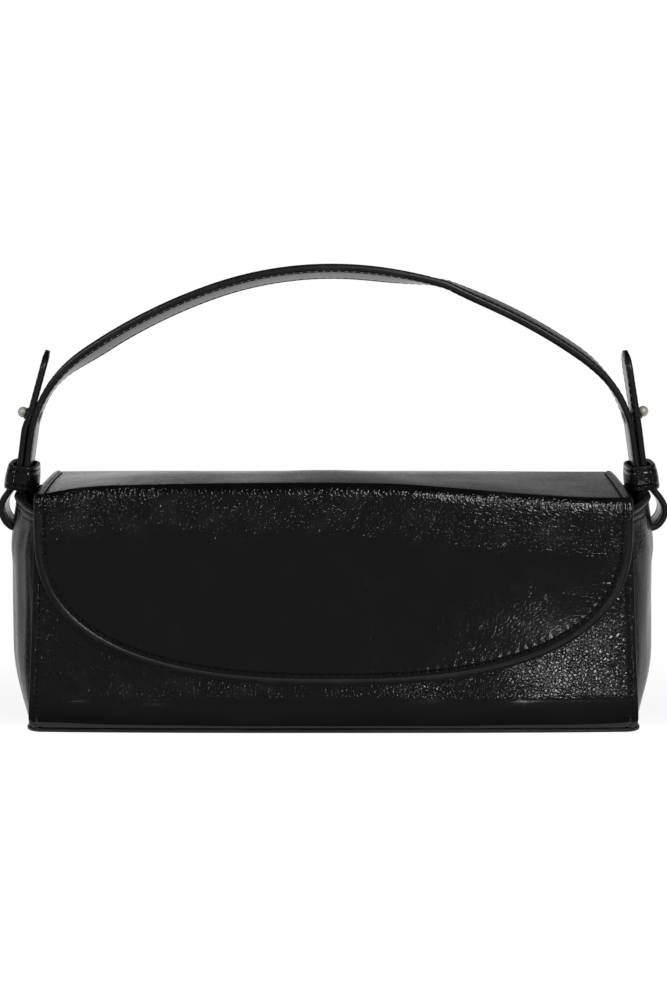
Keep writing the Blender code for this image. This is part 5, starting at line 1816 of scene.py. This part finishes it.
@dataclass(frozen=True)
class Band:
    """The strap's cross-section.

    Attributes:
        width: The strap's width.
        edge: How much of each side is the rounded painted edge.
        crown: How much the faces are rounded.
        groove: The depth of the stitching groove.
        inset: The distance of the stitching from the edge.
    """

    width: float = 20.0 * MM
    edge: float = 0.8 * MM
    crown: float = 0.22 * MM
    groove: float = 0.14 * MM
    inset: float = 2.3 * MM

    def sweep(
        self,
        skin: Skin,
        centre: Array,
        across: Array,
        outward: Array,
        halves: Array,
        thickness: Array,
        finish: SheetFinish,
    ) -> list[tuple[Array, Array]]:
        """Runs the cross-section along a line.

        Args:
            skin: The mesh that takes the strap.
            centre: The points of the middle line.
            across: The direction over the strap's width at each point.
            outward: The direction out of the strap's top face at each point.
            halves: Half the strap's width at each point.
            thickness: The strap's thickness at each point.
            finish: The materials of the top face, edge and underside.

        Returns:
            The lines of the stitching on both faces, with their normals.
        """
        half_shares = np.array((0.33, 0.66, 0.79, 0.86, 0.93, 1.0))
        shares = np.concatenate([-half_shares[::-1], (0.0,), half_shares])
        halves, half_thick = halves[:, None], thickness[:, None] / 2.0
        flat = halves - self.edge
        a_face = flat * shares
        away = halves - np.abs(a_face)
        dip = self.groove * np.exp(-(((away - self.inset) / (0.55 * MM)) ** 2))
        b_face = half_thick + self.crown * (0.6 - shares**2) - dip
        turns = np.linspace(0.0, math.pi, 8)[1:-1]
        a_edge = flat + self.edge * np.sin(turns)
        b_edge = (half_thick - self.crown * 0.4) * np.cos(turns)
        a = np.concatenate([a_face, a_edge, a_face[:, ::-1], -a_edge], axis=1)
        b = np.concatenate([b_face, b_edge, -b_face[:, ::-1], -b_edge], axis=1)
        ring = centre[:, None] + across[:, None] * a[..., None] + outward[:, None] * b[..., None]
        numbers = closed(skin.add(ring))
        run = run_lengths(centre)
        face_end, back_start = len(shares) - 1, len(shares) + len(turns)
        marks = (0, face_end, back_start, back_start + face_end, numbers.shape[1] - 1)
        full_a, full_b = closed(a), closed(b)
        finishes = (finish.face, finish.rim, finish.back, finish.rim)
        flip = float(np.dot(np.cross(across[0], centre[1] - centre[0]), outward[0])) < 0.0
        for index, made in enumerate(finishes):
            piece = slice(marks[index], marks[index + 1] + 1)
            is_edge = index % 2 == 1
            second = full_b[:, piece] if is_edge else full_a[:, piece]
            first = np.repeat(run[:, None], second.shape[1], axis=1)
            seam = None if is_edge else joined(first, halves - np.abs(second))
            skin.patch(numbers[:, piece], joined(second, first), seam, made, flip=flip)
        skin.cap(numbers[0, :-1], finish.rim, flip=not flip)
        skin.cap(numbers[-1, :-1], finish.rim, flip=flip)
        sunk = half_thick - 0.08 * MM
        lines = []
        for sign, face in ((-1, 1), (1, 1), (-1, -1), (1, -1)):
            line = centre + across * (halves - self.inset) * sign + outward * sunk * face
            lines.append((line, outward * face))
        return lines


@dataclass
class Handle:
    """The strap from tail to tail, its keepers and its studs.

    Attributes:
        shop: The finishes.
        band: The cross-section.
        thread: The sewing of the strap.
        top: The height of the arch.
        arcs: The radius of each arc of the arch and its heading in degrees at its end.
        leg: The strap's thickness at its legs.
        arch: The strap's thickness in the arch.
        leg_foot: The height that the straight legs are reckoned down to.
        gap: The gap between the strap's two layers.
        wall_inset: How far the strap's middle line is inside the gusset's face at the slot.
        swing: The height of the line about which the handle swings.
        keeper_foot: The height of a keeper's lower edge.
        keeper_height: The height of a keeper.
        keeper_tilt: How far a keeper leans in with the leg, in degrees.
        keeper_wall: The thickness of a keeper.
        keeper_middle: How far a keeper's middle stands from the bag's.
        keeper_hole: Half the size of a keeper's hole, through and along the strap's width.
        keeper_roundness: The power of the hole's outline; lower is squarer.
        keeper_crown: How much a keeper's face is rounded.
        keeper_lip: How far its edges are rounded.
        keeper_lap: How much higher its overlapped stretch stands.
        keeper_open: Where the overlapped stretch ends and begins again, in degrees round.
        left_roll: How far the strap is twisted on the left of the arch, in degrees.
        right_roll: How far it is twisted the other way on the right, in degrees.
        settled: How far the strap hangs to the side.
        tail_start: The height where the tails begin.
        tail_hinge: How far the tails' bending lines stand from the bag's middle; it is not used.
        tail_leans: How far the left and right tail lean in, in degrees.
        tail_turns: How far they twist, in degrees.
        tail_tip: The height of their tips.
        tail_point: The length of their rounded end.
        stud_height: The height of the studs on the legs.
        stud_slant: How far the studs point up, in degrees.
    """

    shop: Workshop
    band: Band = field(default_factory=Band)
    thread: Thread = Thread(pitch=3.4 * MM, length=2.5 * MM, radius=0.22 * MM, lift=0.02 * MM)
    top: float = 208.6 * MM
    arcs: tuple[tuple[float, float], ...] = ((167.4, 19.2), (245.9, 34.4), (60.9, 82.9))
    leg: float = 2.9 * MM
    arch: float = 3.5 * MM
    leg_foot: float = 101.0 * MM
    gap: float = 0.3 * MM
    wall_inset: float = 1.3 * MM
    swing: float = 132.0 * MM
    keeper_foot: float = 105.5 * MM
    keeper_height: float = 11.5 * MM
    keeper_tilt: float = 7.4
    keeper_wall: float = 1.5 * MM
    keeper_middle: float = 141.7 * MM
    keeper_hole: tuple[float, float] = (5.3 * MM, 11.2 * MM)
    keeper_roundness: float = 0.52
    keeper_crown: float = 0.3 * MM
    keeper_lip: float = 0.6 * MM
    keeper_lap: float = 0.45 * MM
    keeper_open: tuple[float, float] = (80.0, 282.0)
    left_roll: float = 14.5
    right_roll: float = 5.0
    settled: float = -0.75 * MM
    tail_start: float = 132.8 * MM
    tail_hinge: float = 143.661 * MM
    tail_leans: tuple[float, float] = (16.0, 9.7)
    tail_turns: tuple[float, float] = (5.0, 0.0)
    tail_tip: float = 168.6 * MM
    tail_point: float = 9.0 * MM
    stud_height: float = 138.6 * MM
    stud_slant: float = 20.2

    def settle(self, points: Array) -> Array:
        """Shifts what stands over the bag a little to the left, as the strap hangs."""
        moved = points.copy()
        moved[..., 0] += self.settled * ease(points[..., 2], 92.0 * MM, 106.0 * MM)
        return moved

    def arch_line(self) -> Array:
        """Gives the arch's outer face from the crown to the leg's foot as rows of X, Z and heading."""
        along, height, heading = 0.0, self.top, 0.0
        rows = [(along, height, heading)]
        for radius, turn in self.arcs:
            radius = radius * MM
            start, origin = heading, (along, height)
            end = math.radians(turn)
            for share in np.linspace(0.0, 1.0, 13)[1:]:
                heading = start + (end - start) * share
                along = origin[0] + radius * (math.sin(heading) - math.sin(start))
                height = origin[1] - radius * (math.cos(start) - math.cos(heading))
                rows.append((along, height, heading))
        for part in np.linspace(0.0, height - self.leg_foot, 5)[1:]:
            rows.append((along + part / math.tan(heading), height - part, heading))
        return np.array(rows)

    def leg_at(self, height: float) -> float:
        """Gives the outer face of the leg at a height."""
        rows = self.arch_line()[::-1]
        return float(np.interp(height, rows[:, 1], rows[:, 0]))

    def heading_at(self, height: float) -> float:
        """Gives the leg's heading at a height."""
        rows = self.arch_line()[::-1]
        return float(np.interp(height, rows[:, 1], rows[:, 2]))

    def outer_at(self, height: float) -> float:
        """Gives the outer face of the strap's second layer at a height."""
        return self.leg_at(height) + (self.gap + self.leg) / math.sin(self.heading_at(height))

    def middle_line(self) -> Array:
        """Gives the strap's middle line from the crown down the right side to its outer end."""
        half = self.leg / 2.0
        top = self.swing + 2.0 * MM
        rows = self.arch_line()
        along, height, heading = rows[rows[:, 1] > top + 3.0 * MM].T
        arch = joined(along - half * np.sin(heading), 0.0, height - half * np.cos(heading))
        over = self.keeper_foot + self.keeper_height + 1.0 * MM
        into = self.keeper_foot + 2.5 * MM
        slot, waist = 86.0 * MM, 95.5 * MM
        inside = waist - slot
        wall = float(SHAPE.reach(slot)) - self.wall_inset
        knots = [
            (self.leg_at(top) - half, top),
            (self.leg_at(over) - half, over),
            (self.leg_at(into) - half, into),
            (140.85 * MM, 100.0 * MM),
            (140.6 * MM, 94.5 * MM),
            (142.2 * MM, slot + 0.32 * inside),
            (wall, slot + 1.9 * MM),
            (150.3 * MM, slot + 0.56 * inside),
            (151.9 * MM, waist + 1.2 * MM),
            (150.2 * MM, waist + 6.0 * MM),
            (147.3 * MM, into - 3.0 * MM),
            (144.2 * MM, over - 7.5 * MM),
            (self.outer_at(over) - half, over),
            (self.outer_at(top) - half, top),
        ]
        loop = through(knots, 8)
        if loop[-1, 2] > self.tail_start:
            loop = loop[:-1]
        return np.concatenate([arch, loop])

    def roll(self, x: Array) -> Array:
        """Gives the strap's twist about its own run, in radians, front edge up."""
        left = self.left_roll * (1.0 - ease(x, 22.0 * MM, 62.0 * MM)) * ease(x, -131.0 * MM, -112.0 * MM)
        right = -self.right_roll * ease(x, 30.0 * MM, 75.0 * MM) * (1.0 - ease(x, 116.0 * MM, 132.0 * MM))
        return np.radians(left + right)

    def make_strap(self) -> int:
        """Makes the strap from one outer end over the arch to the other.

        Returns:
            The number of stitches.
        """
        right = resample(soften(resample(self.middle_line(), 1.0 * MM), 3), 1.5 * MM)
        left = right[::-1].copy()
        left[:, 0] *= -1.0
        centre = np.concatenate([left[:-1], right])
        ahead = unit(np.gradient(centre, axis=0))
        plain = np.tile(ACROSS, (len(centre), 1))
        outward = np.cross(ahead, plain)
        high = centre[:, 2] > self.swing + 4.0 * MM
        turn = np.where(high, self.roll(centre[:, 0]), 0.0)
        turn = np.convolve(np.pad(turn, 6, mode="edge"), np.ones(13) / 13.0, mode="valid")[:, None]
        centre = self.settle(centre - outward * (np.abs(np.sin(turn)) * self.band.width / 2.0))
        across = plain * np.cos(turn) - outward * np.sin(turn)
        outward = outward * np.cos(turn) + plain * np.sin(turn)
        thick = self.leg + (self.arch - self.leg) * ease(centre[:, 2], 140.0 * MM, 165.0 * MM)
        halves = np.full(len(centre), self.band.width / 2.0)
        finish = SheetFinish(self.shop.strap, self.shop.edge, self.shop.strap)
        skin = finish.skin()
        lines = self.band.sweep(skin, centre, across, outward, halves, thick, finish)
        count = 0
        arch = slice(np.argmax(high), len(high) - np.argmax(high[::-1]))
        for line, normals in lines:
            count += self.thread.sew(skin, line[arch], normals[arch], self.shop.thread)
        obj = skin.build("strap_band")
        put_on(obj, None, Place.STRAP, "handle_strap", "left_strap_loop", "right_strap_loop")
        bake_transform(obj)
        return count

    def make_tail(self, name: str, sign: float) -> None:
        """Makes one tail with its button hole.

        Args:
            name: "left" or "right".
            sign: 1 for the right side and -1 for the left.
        """
        lean = math.radians(self.tail_leans[int(sign > 0.0)])
        twist = math.radians(self.tail_turns[int(sign > 0.0)])
        run = (self.tail_tip - self.tail_start) / math.cos(lean)
        point = self.tail_point * 0.93
        closer = np.sin(np.linspace(0.0, math.pi / 2.0, 12)[1:])
        marks = np.concatenate([np.linspace(0.0, run - point, 20), run - point * (1.0 - closer)])
        base_line = self.middle_line()
        ahead = np.array((-math.sin(lean), 0.0, math.cos(lean)))
        bend = 1.0 - np.exp(-marks / (2.5 * MM))
        first = unit(base_line[-1] - base_line[-2])
        centre = base_line[-1] + first * (marks * (1.0 - bend))[:, None] + ahead * (marks * bend)[:, None]
        centre[:, 0] *= sign
        centre = self.settle(centre)
        direction = unit(np.gradient(centre, axis=0))
        across = np.tile(ACROSS, (len(centre), 1))
        outward = np.cross(across, direction) * sign
        turned = (twist * ease(marks, 0.0, 9.0 * MM))[:, None]
        across, outward = (
            across * np.cos(turned) + outward * np.sin(turned),
            outward * np.cos(turned) - across * np.sin(turned),
        )
        share = np.clip((marks - (run - point)) / self.tail_point, 0.0, 0.93)
        halves = self.band.width / 2.0 * (1.0 - share**1.8) ** (1.0 / 1.8)
        thick = self.leg * (1.0 - 0.3 * ease(share, 0.6, 0.93))
        finish = SheetFinish(self.shop.strap, self.shop.edge, self.shop.strap)
        skin = finish.skin()
        lines = self.band.sweep(skin, centre, across, outward, halves, thick, finish)
        wide = halves > 6.2 * MM
        for line, normals in lines:
            self.thread.sew(skin, line[wide][1:], normals[wide][1:], self.shop.thread)
        obj = skin.build(f"{name}_tail_band")
        carve(obj, self.hole_cutter(sign))
        put_on(obj, None, Place.STRAP, f"{name}_tail_base", f"{name}_strap_tail")
        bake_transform(obj)

    def hole_cutter(self, sign: float) -> bpy.types.Object:
        """Makes the closed cutter of a tail's button hole."""
        foot, out = self.stud_axis(1.0)
        up = np.array((-out[2], 0.0, out[0]))
        angles = circle(24)[:, None]
        ring = foot + out * 0.2 * MM + 2.9 * MM * (np.cos(angles) * ACROSS + np.sin(angles) * up)
        ring[:, 0] = ring[:, 0] * sign + self.settled
        ring = ring[:: int(sign)]
        return slab(ring, out * np.array((sign, 1.0, 1.0)) * 14.0 * MM, self.shop.edge, "hole_cutter")

    def stud_axis(self, sign: float) -> tuple[Array, Array]:
        """Gives the point on the leg's outer face where a stud stands, and its direction."""
        slant = math.radians(self.stud_slant)
        foot = np.array((sign * self.leg_at(self.stud_height), 0.0, self.stud_height))
        return foot, np.array((sign * math.cos(slant), 0.0, math.sin(slant)))

    def keeper_section(self) -> tuple[Array, tuple[int, ...]]:
        """Gives a keeper's closed section.

        Returns:
            The depth from the inner face and the height at each point, and where the outer
            face, the top edge, the inner face and the foot edge begin and end.
        """
        flat = self.keeper_height / 2.0 - self.keeper_lip
        rows = []
        for side in (1.0, -1.0):
            for share in np.linspace(-1.0, 1.0, 7):
                out = self.keeper_wall + self.keeper_crown * (1.0 - share**2) if side > 0.0 else 0.0
                rows.append((out, side * flat * share))
            for angle in np.linspace(0.0, math.pi, 7)[1:-1]:
                out = self.keeper_wall / 2.0 * (1.0 + side * math.cos(angle))
                rows.append((out, side * (flat + self.keeper_lip * math.sin(angle))))
        return np.array(rows), (0, 6, 12, 18, len(rows))

    def make_keeper(self, name: str, sign: float) -> None:
        """Makes one keeper, a stitched leather band round both layers of the strap.

        Args:
            name: "left" or "right".
            sign: 1 for the right side and -1 for the left.
        """
        section, marks = self.keeper_section()
        section = np.concatenate([section, section[:1]])
        angles = circle(144)
        degrees = np.degrees(angles)
        ends, begins = self.keeper_open
        covered = ease(degrees, begins - 2.0, begins + 2.0) + 1.0 - ease(degrees, ends - 2.0, ends + 2.0)
        lap = self.keeper_lap * covered
        sides = joined(np.cos(angles), np.sin(angles))
        sides = np.sign(sides) * np.abs(sides) ** self.keeper_roundness
        sides, lap = np.concatenate([sides, sides[:1]]), np.concatenate([lap, lap[:1]])[:, None]
        inner_x, inner_y = self.keeper_hole
        flare = 1.0 - 0.09 * section[:, 1] / (self.keeper_height / 2.0)
        reach = section[:, 0] * (1.0 + lap / self.keeper_wall)
        x = sides[:, :1] * (inner_x * flare + reach)
        y = sides[:, 1:] * (inner_y + reach)
        tilt = -math.radians(self.keeper_tilt)
        z = -x * math.sin(tilt) + section[:, 1] * math.cos(tilt)
        x = x * math.cos(tilt) + section[:, 1] * math.sin(tilt) + self.keeper_middle
        grid = joined(x * sign + self.settled, y, z + self.keeper_foot + self.keeper_height / 2.0)
        skin = Skin([self.shop.strap, self.shop.edge])
        body = skin.add(grid[:-1, :-1])
        numbers = closed(np.concatenate([body, body[:1]]))
        run = run_lengths(grid[:, 0])
        spread = pairs(section[:, 1], run)
        seam = joined(run[:, None], self.keeper_height / 2.0 - np.abs(section[:, 1]))
        finishes = (self.shop.strap, self.shop.edge, self.shop.strap, self.shop.edge)
        for index, made in enumerate(finishes):
            piece = slice(marks[index], marks[index + 1] + 1)
            own_seam = seam[:, piece] if index == 0 else None
            skin.patch(numbers[:, piece], spread[:, piece], own_seam, made, flip=sign > 0.0)
        put_on(skin.build(f"{name}_keeper_band"), f"{name}_keeper", Place.STRAP, f"{name}_keeper")

    def make(self) -> None:
        """Makes the strap, its tails and its keepers."""
        stitches = self.make_strap()
        for name, sign in SIDES:
            self.make_tail(name, sign)
            self.make_keeper(name, sign)
        LOG.info("handle: strap, tails and keepers, %d stitches", stitches)


@dataclass
class Studs:
    """The ball studs that the tails button on, the lips of the button holes and the inner caps.

    Attributes:
        shop: The finishes.
        handle: The strap that carries the studs.
        reaches: How far each ball's middle stands off the leg, left and right.
        ball: The radius of the ball.
        neck: The radius of the neck.
        lip: The inner radius of the leather lip round a tail's button hole.
        cap: The radius of the leather cap on the leg's inner face.
    """

    shop: Workshop
    handle: Handle
    reaches: tuple[float, float] = (5.1 * MM, 6.3 * MM)
    ball: float = 2.5 * MM
    neck: float = 1.2 * MM
    lip: float = 2.5 * MM
    cap: float = 3.6 * MM

    def lathe(
        self,
        name: str,
        sign: float,
        profile: Sequence[tuple[float, float]],
        finish: bpy.types.Material,
        open_ends: bool = False,
    ) -> bpy.types.Object:
        """Turns a profile round a stud's axis.

        Args:
            name: The piece's name.
            sign: 1 for the right side and -1 for the left.
            profile: Distances out along the axis with radii, from the inner end.
            finish: The material.
            open_ends: Whether the profile is a closed loop off the axis.

        Returns:
            The object.
        """
        foot, out = self.handle.stud_axis(sign)
        foot = foot + np.array((self.handle.settled, 0.0, 0.0))
        angles = circle(28)[:, None]
        ring = np.cos(angles) * ACROSS + np.sin(angles) * np.cross(out, ACROSS)
        levels = np.array(profile)
        skin = Skin([finish])
        numbers = skin.add(foot + out * levels[:, None, :1] + ring * levels[:, None, 1:])
        spread = pairs(np.linspace(0.0, 12.0 * MM, 29), levels[:, 0])
        skin.patch(closed(numbers), spread, None, finish, flip=True)
        if not open_ends:
            skin.cap(numbers[0], finish, flip=True)
            skin.cap(numbers[-1], finish)
        obj = skin.build(name)
        if open_ends:
            weld(obj)
        return obj

    def make(self) -> None:
        """Makes both studs."""
        for (name, sign), reach in zip(SIDES, self.reaches):
            start = math.asin(self.neck / self.ball)
            turns = np.linspace(start, math.pi - 0.02, 18)
            ball = [(reach - self.ball * math.cos(turn), self.ball * math.sin(turn)) for turn in turns]
            foot = [(-0.3 * MM, 0.4 * MM), (-0.3 * MM, self.neck), (0.6 * MM, self.neck)]
            stud = self.lathe(f"{name}_ball_stud", sign, foot + ball, self.shop.brass)
            put_on(stud, "handle", Place.BRASS, f"{name}_stud")
            inner, outer = reach - 3.2 * MM, reach - 1.2 * MM
            soft = [
                (inner, self.lip), (inner, self.lip + 1.1 * MM), (inner + 0.5 * MM, self.lip + 0.95 * MM),
                (outer - 1.2 * MM, self.lip + 0.5 * MM), (outer - 0.3 * MM, self.lip + 0.3 * MM),
                (outer, self.lip + 0.1 * MM), (outer - 0.2 * MM, self.lip), (inner, self.lip),
            ]
            lip = self.lathe(f"{name}_hole_lip", sign, soft, self.shop.edge, open_ends=True)
            put_on(lip, f"{name}_tail", Place.EDGE)
            face = -self.handle.leg
            dome = [
                (face - 0.75 * MM * math.sin(turn), self.cap * math.cos(turn))
                for turn in np.linspace(math.pi / 2.0 - 0.05, 0.0, 9)
            ]
            cap = self.lathe(f"{name}_stud_cap", sign, dome + [(face + 0.4 * MM, self.cap)], self.shop.strap)
            put_on(cap, "handle", Place.STRAP, f"{name}_stud_screw")
        LOG.info("studs: two balls with hole lips and caps")


# The studio


@dataclass
class Studio:
    """The camera, the floor, the world and the lamps.

    Attributes:
        place: Where the camera stands.
        down: How far the camera looks down, in degrees.
        focal: The focal length in pixels of the picture.
        sensor: The width of the camera's sensor in millimetres.
        front_dim: How bright the room in front looks in the lacquer.
        ambient: The strength of the plain light all round.
    """

    place: tuple[float, float, float] = (0.0, -1.0632, 0.2612)
    down: float = 8.64
    focal: float = 2334.6
    sensor: float = 36.0
    front_dim: float = 0.16
    ambient: float = 0.4

    def camera(self) -> None:
        """Makes the camera."""
        data = bpy.data.cameras.new("studio_camera")
        data.sensor_width = self.sensor
        data.lens = self.focal * self.sensor / FRAME_LONG_SIDE
        data.clip_start = 0.05
        data.clip_end = 60.0
        camera = new_object("studio_camera", data)
        camera.location = self.place
        camera.rotation_euler = (math.radians(90.0 - self.down), 0.0, 0.0)
        bpy.context.scene.camera = camera

    def world(self) -> None:
        """Makes a white background with soft plain light."""
        world = bpy.data.worlds.new("studio_world")
        bpy.context.scene.world = world
        world.use_nodes = True
        kit = ShaderKit(world.node_tree)
        seen, gloss = kit.rays()
        across, back, rise = kit.split(kit.place("Generated"))
        slope = across.ramp(-0.15, 0.15, 1.45, 0.75) * (1.0 - 0.5 * across.near(0.01, 0.1))
        behind = back.ramp(0.2, 0.75) * rise.ramp(0.02, 0.34, 0.45, 0.0) * slope
        around = rise.ramp(0.25, 0.6, self.front_dim, 0.004) * rise.ramp(-0.75, -0.3, 0.4, 1.0)
        mirrored = behind.largest(around)
        level = seen.largest(gloss * mirrored).largest((1.0 - seen) * (1.0 - gloss) * self.ambient)
        shade = kit.node("ShaderNodeBackground", {}, {"Color": (1.0, 1.0, 1.0, 1.0), "Strength": level})
        kit.node("ShaderNodeOutputWorld", {}, {"Surface": shade.outputs["Background"]})

    def floor(self) -> None:
        """Makes the pale floor, which shows white and keeps the bag's shadow."""
        material, kit = new_material("studio_floor")
        seen, gloss = kit.rays()
        wide, deep, _ = kit.split(kit.place())
        far = (wide * wide * 0.45 + deep * deep).root().ramp(0.07, 0.2)
        far = far.largest(deep.ramp(-0.044, 0.0, 1.0, 0.0))
        mirrored = wide.ramp(-0.5, -0.16, 0.12, 0.4)
        matt = kit.node("ShaderNodeBsdfDiffuse", {}, {"Color": (0.86, 0.86, 0.86, 1.0)})
        glow = kit.node("ShaderNodeEmission", {}, {"Color": (1.0, 1.0, 1.0, 1.0), "Strength": 1.02})
        both = kit.mixed((seen * (0.85 + 0.15 * far)).largest(gloss * mirrored), matt, glow)
        kit.node("ShaderNodeOutputMaterial", {}, {"Surface": both})
        mesh = bpy.data.meshes.new("studio_floor")
        near, end, side, level = -0.0445, 3.2, 2.2, -0.0001
        corners = [(-side, near, level), (side, near, level), (side, end, level), (-side, end, level)]
        mesh.from_pydata(corners, [], [(0, 1, 2, 3)])
        mesh.materials.append(material)
        new_object("studio_floor", mesh)

    def lamp(self, name: str, place: Colour, aim: Colour, size: tuple[float, float], power: float) -> None:
        """Makes one softbox.

        Args:
            name: The lamp's name.
            place: Where it stands.
            aim: The point that it looks at.
            size: Its width and height.
            power: Its power in watts.
        """
        data = bpy.data.lights.new(name, "AREA")
        data.shape = "RECTANGLE"
        data.size, data.size_y = size
        data.energy = power
        lamp = new_object(name, data)
        lamp.location = place
        lamp.rotation_euler = (Vector(aim) - Vector(place)).to_track_quat("-Z", "Y").to_euler()

    def make(self) -> None:
        """Makes the studio."""
        view = bpy.context.scene.view_settings
        view.view_transform = "Standard"
        self.camera()
        self.world()
        self.floor()
        aim = (0.0, 0.0, 0.08)
        self.lamp("front_right_softbox", (0.55, -1.15, 0.95), aim, (0.5, 0.5), 7.0)
        self.lamp("front_left_softbox", (-0.8, -1.0, 0.8), aim, (0.35, 0.35), 2.2)
        self.lamp("low_right_lamp", (0.285, -1.3, -0.24), (0.12, -0.04, 0.03), (0.1, 0.07), 0.36)
        self.lamp("low_left_lamp", (-0.29, -1.3, -0.3), (-0.12, -0.04, 0.02), (0.03, 0.03), 0.015)
        LOG.info("studio: camera, floor, world and four lamps")


def main() -> None:
    """Builds the studio and the bag, piece by piece."""
    logging.basicConfig(level=logging.INFO, format="%(name)s: %(message)s", stream=sys.stdout)
    Studio().make()
    shop = Workshop()
    LOG.info("finishes: %d packed nodes dressed", shop.dress_nodes())
    handle = Handle(shop)
    for assembly in (Shell(shop), Gussets(shop), Inside(shop), Flap(shop), handle, Studs(shop, handle)):
        assembly.make()


if __name__ == "__main__":
    main()
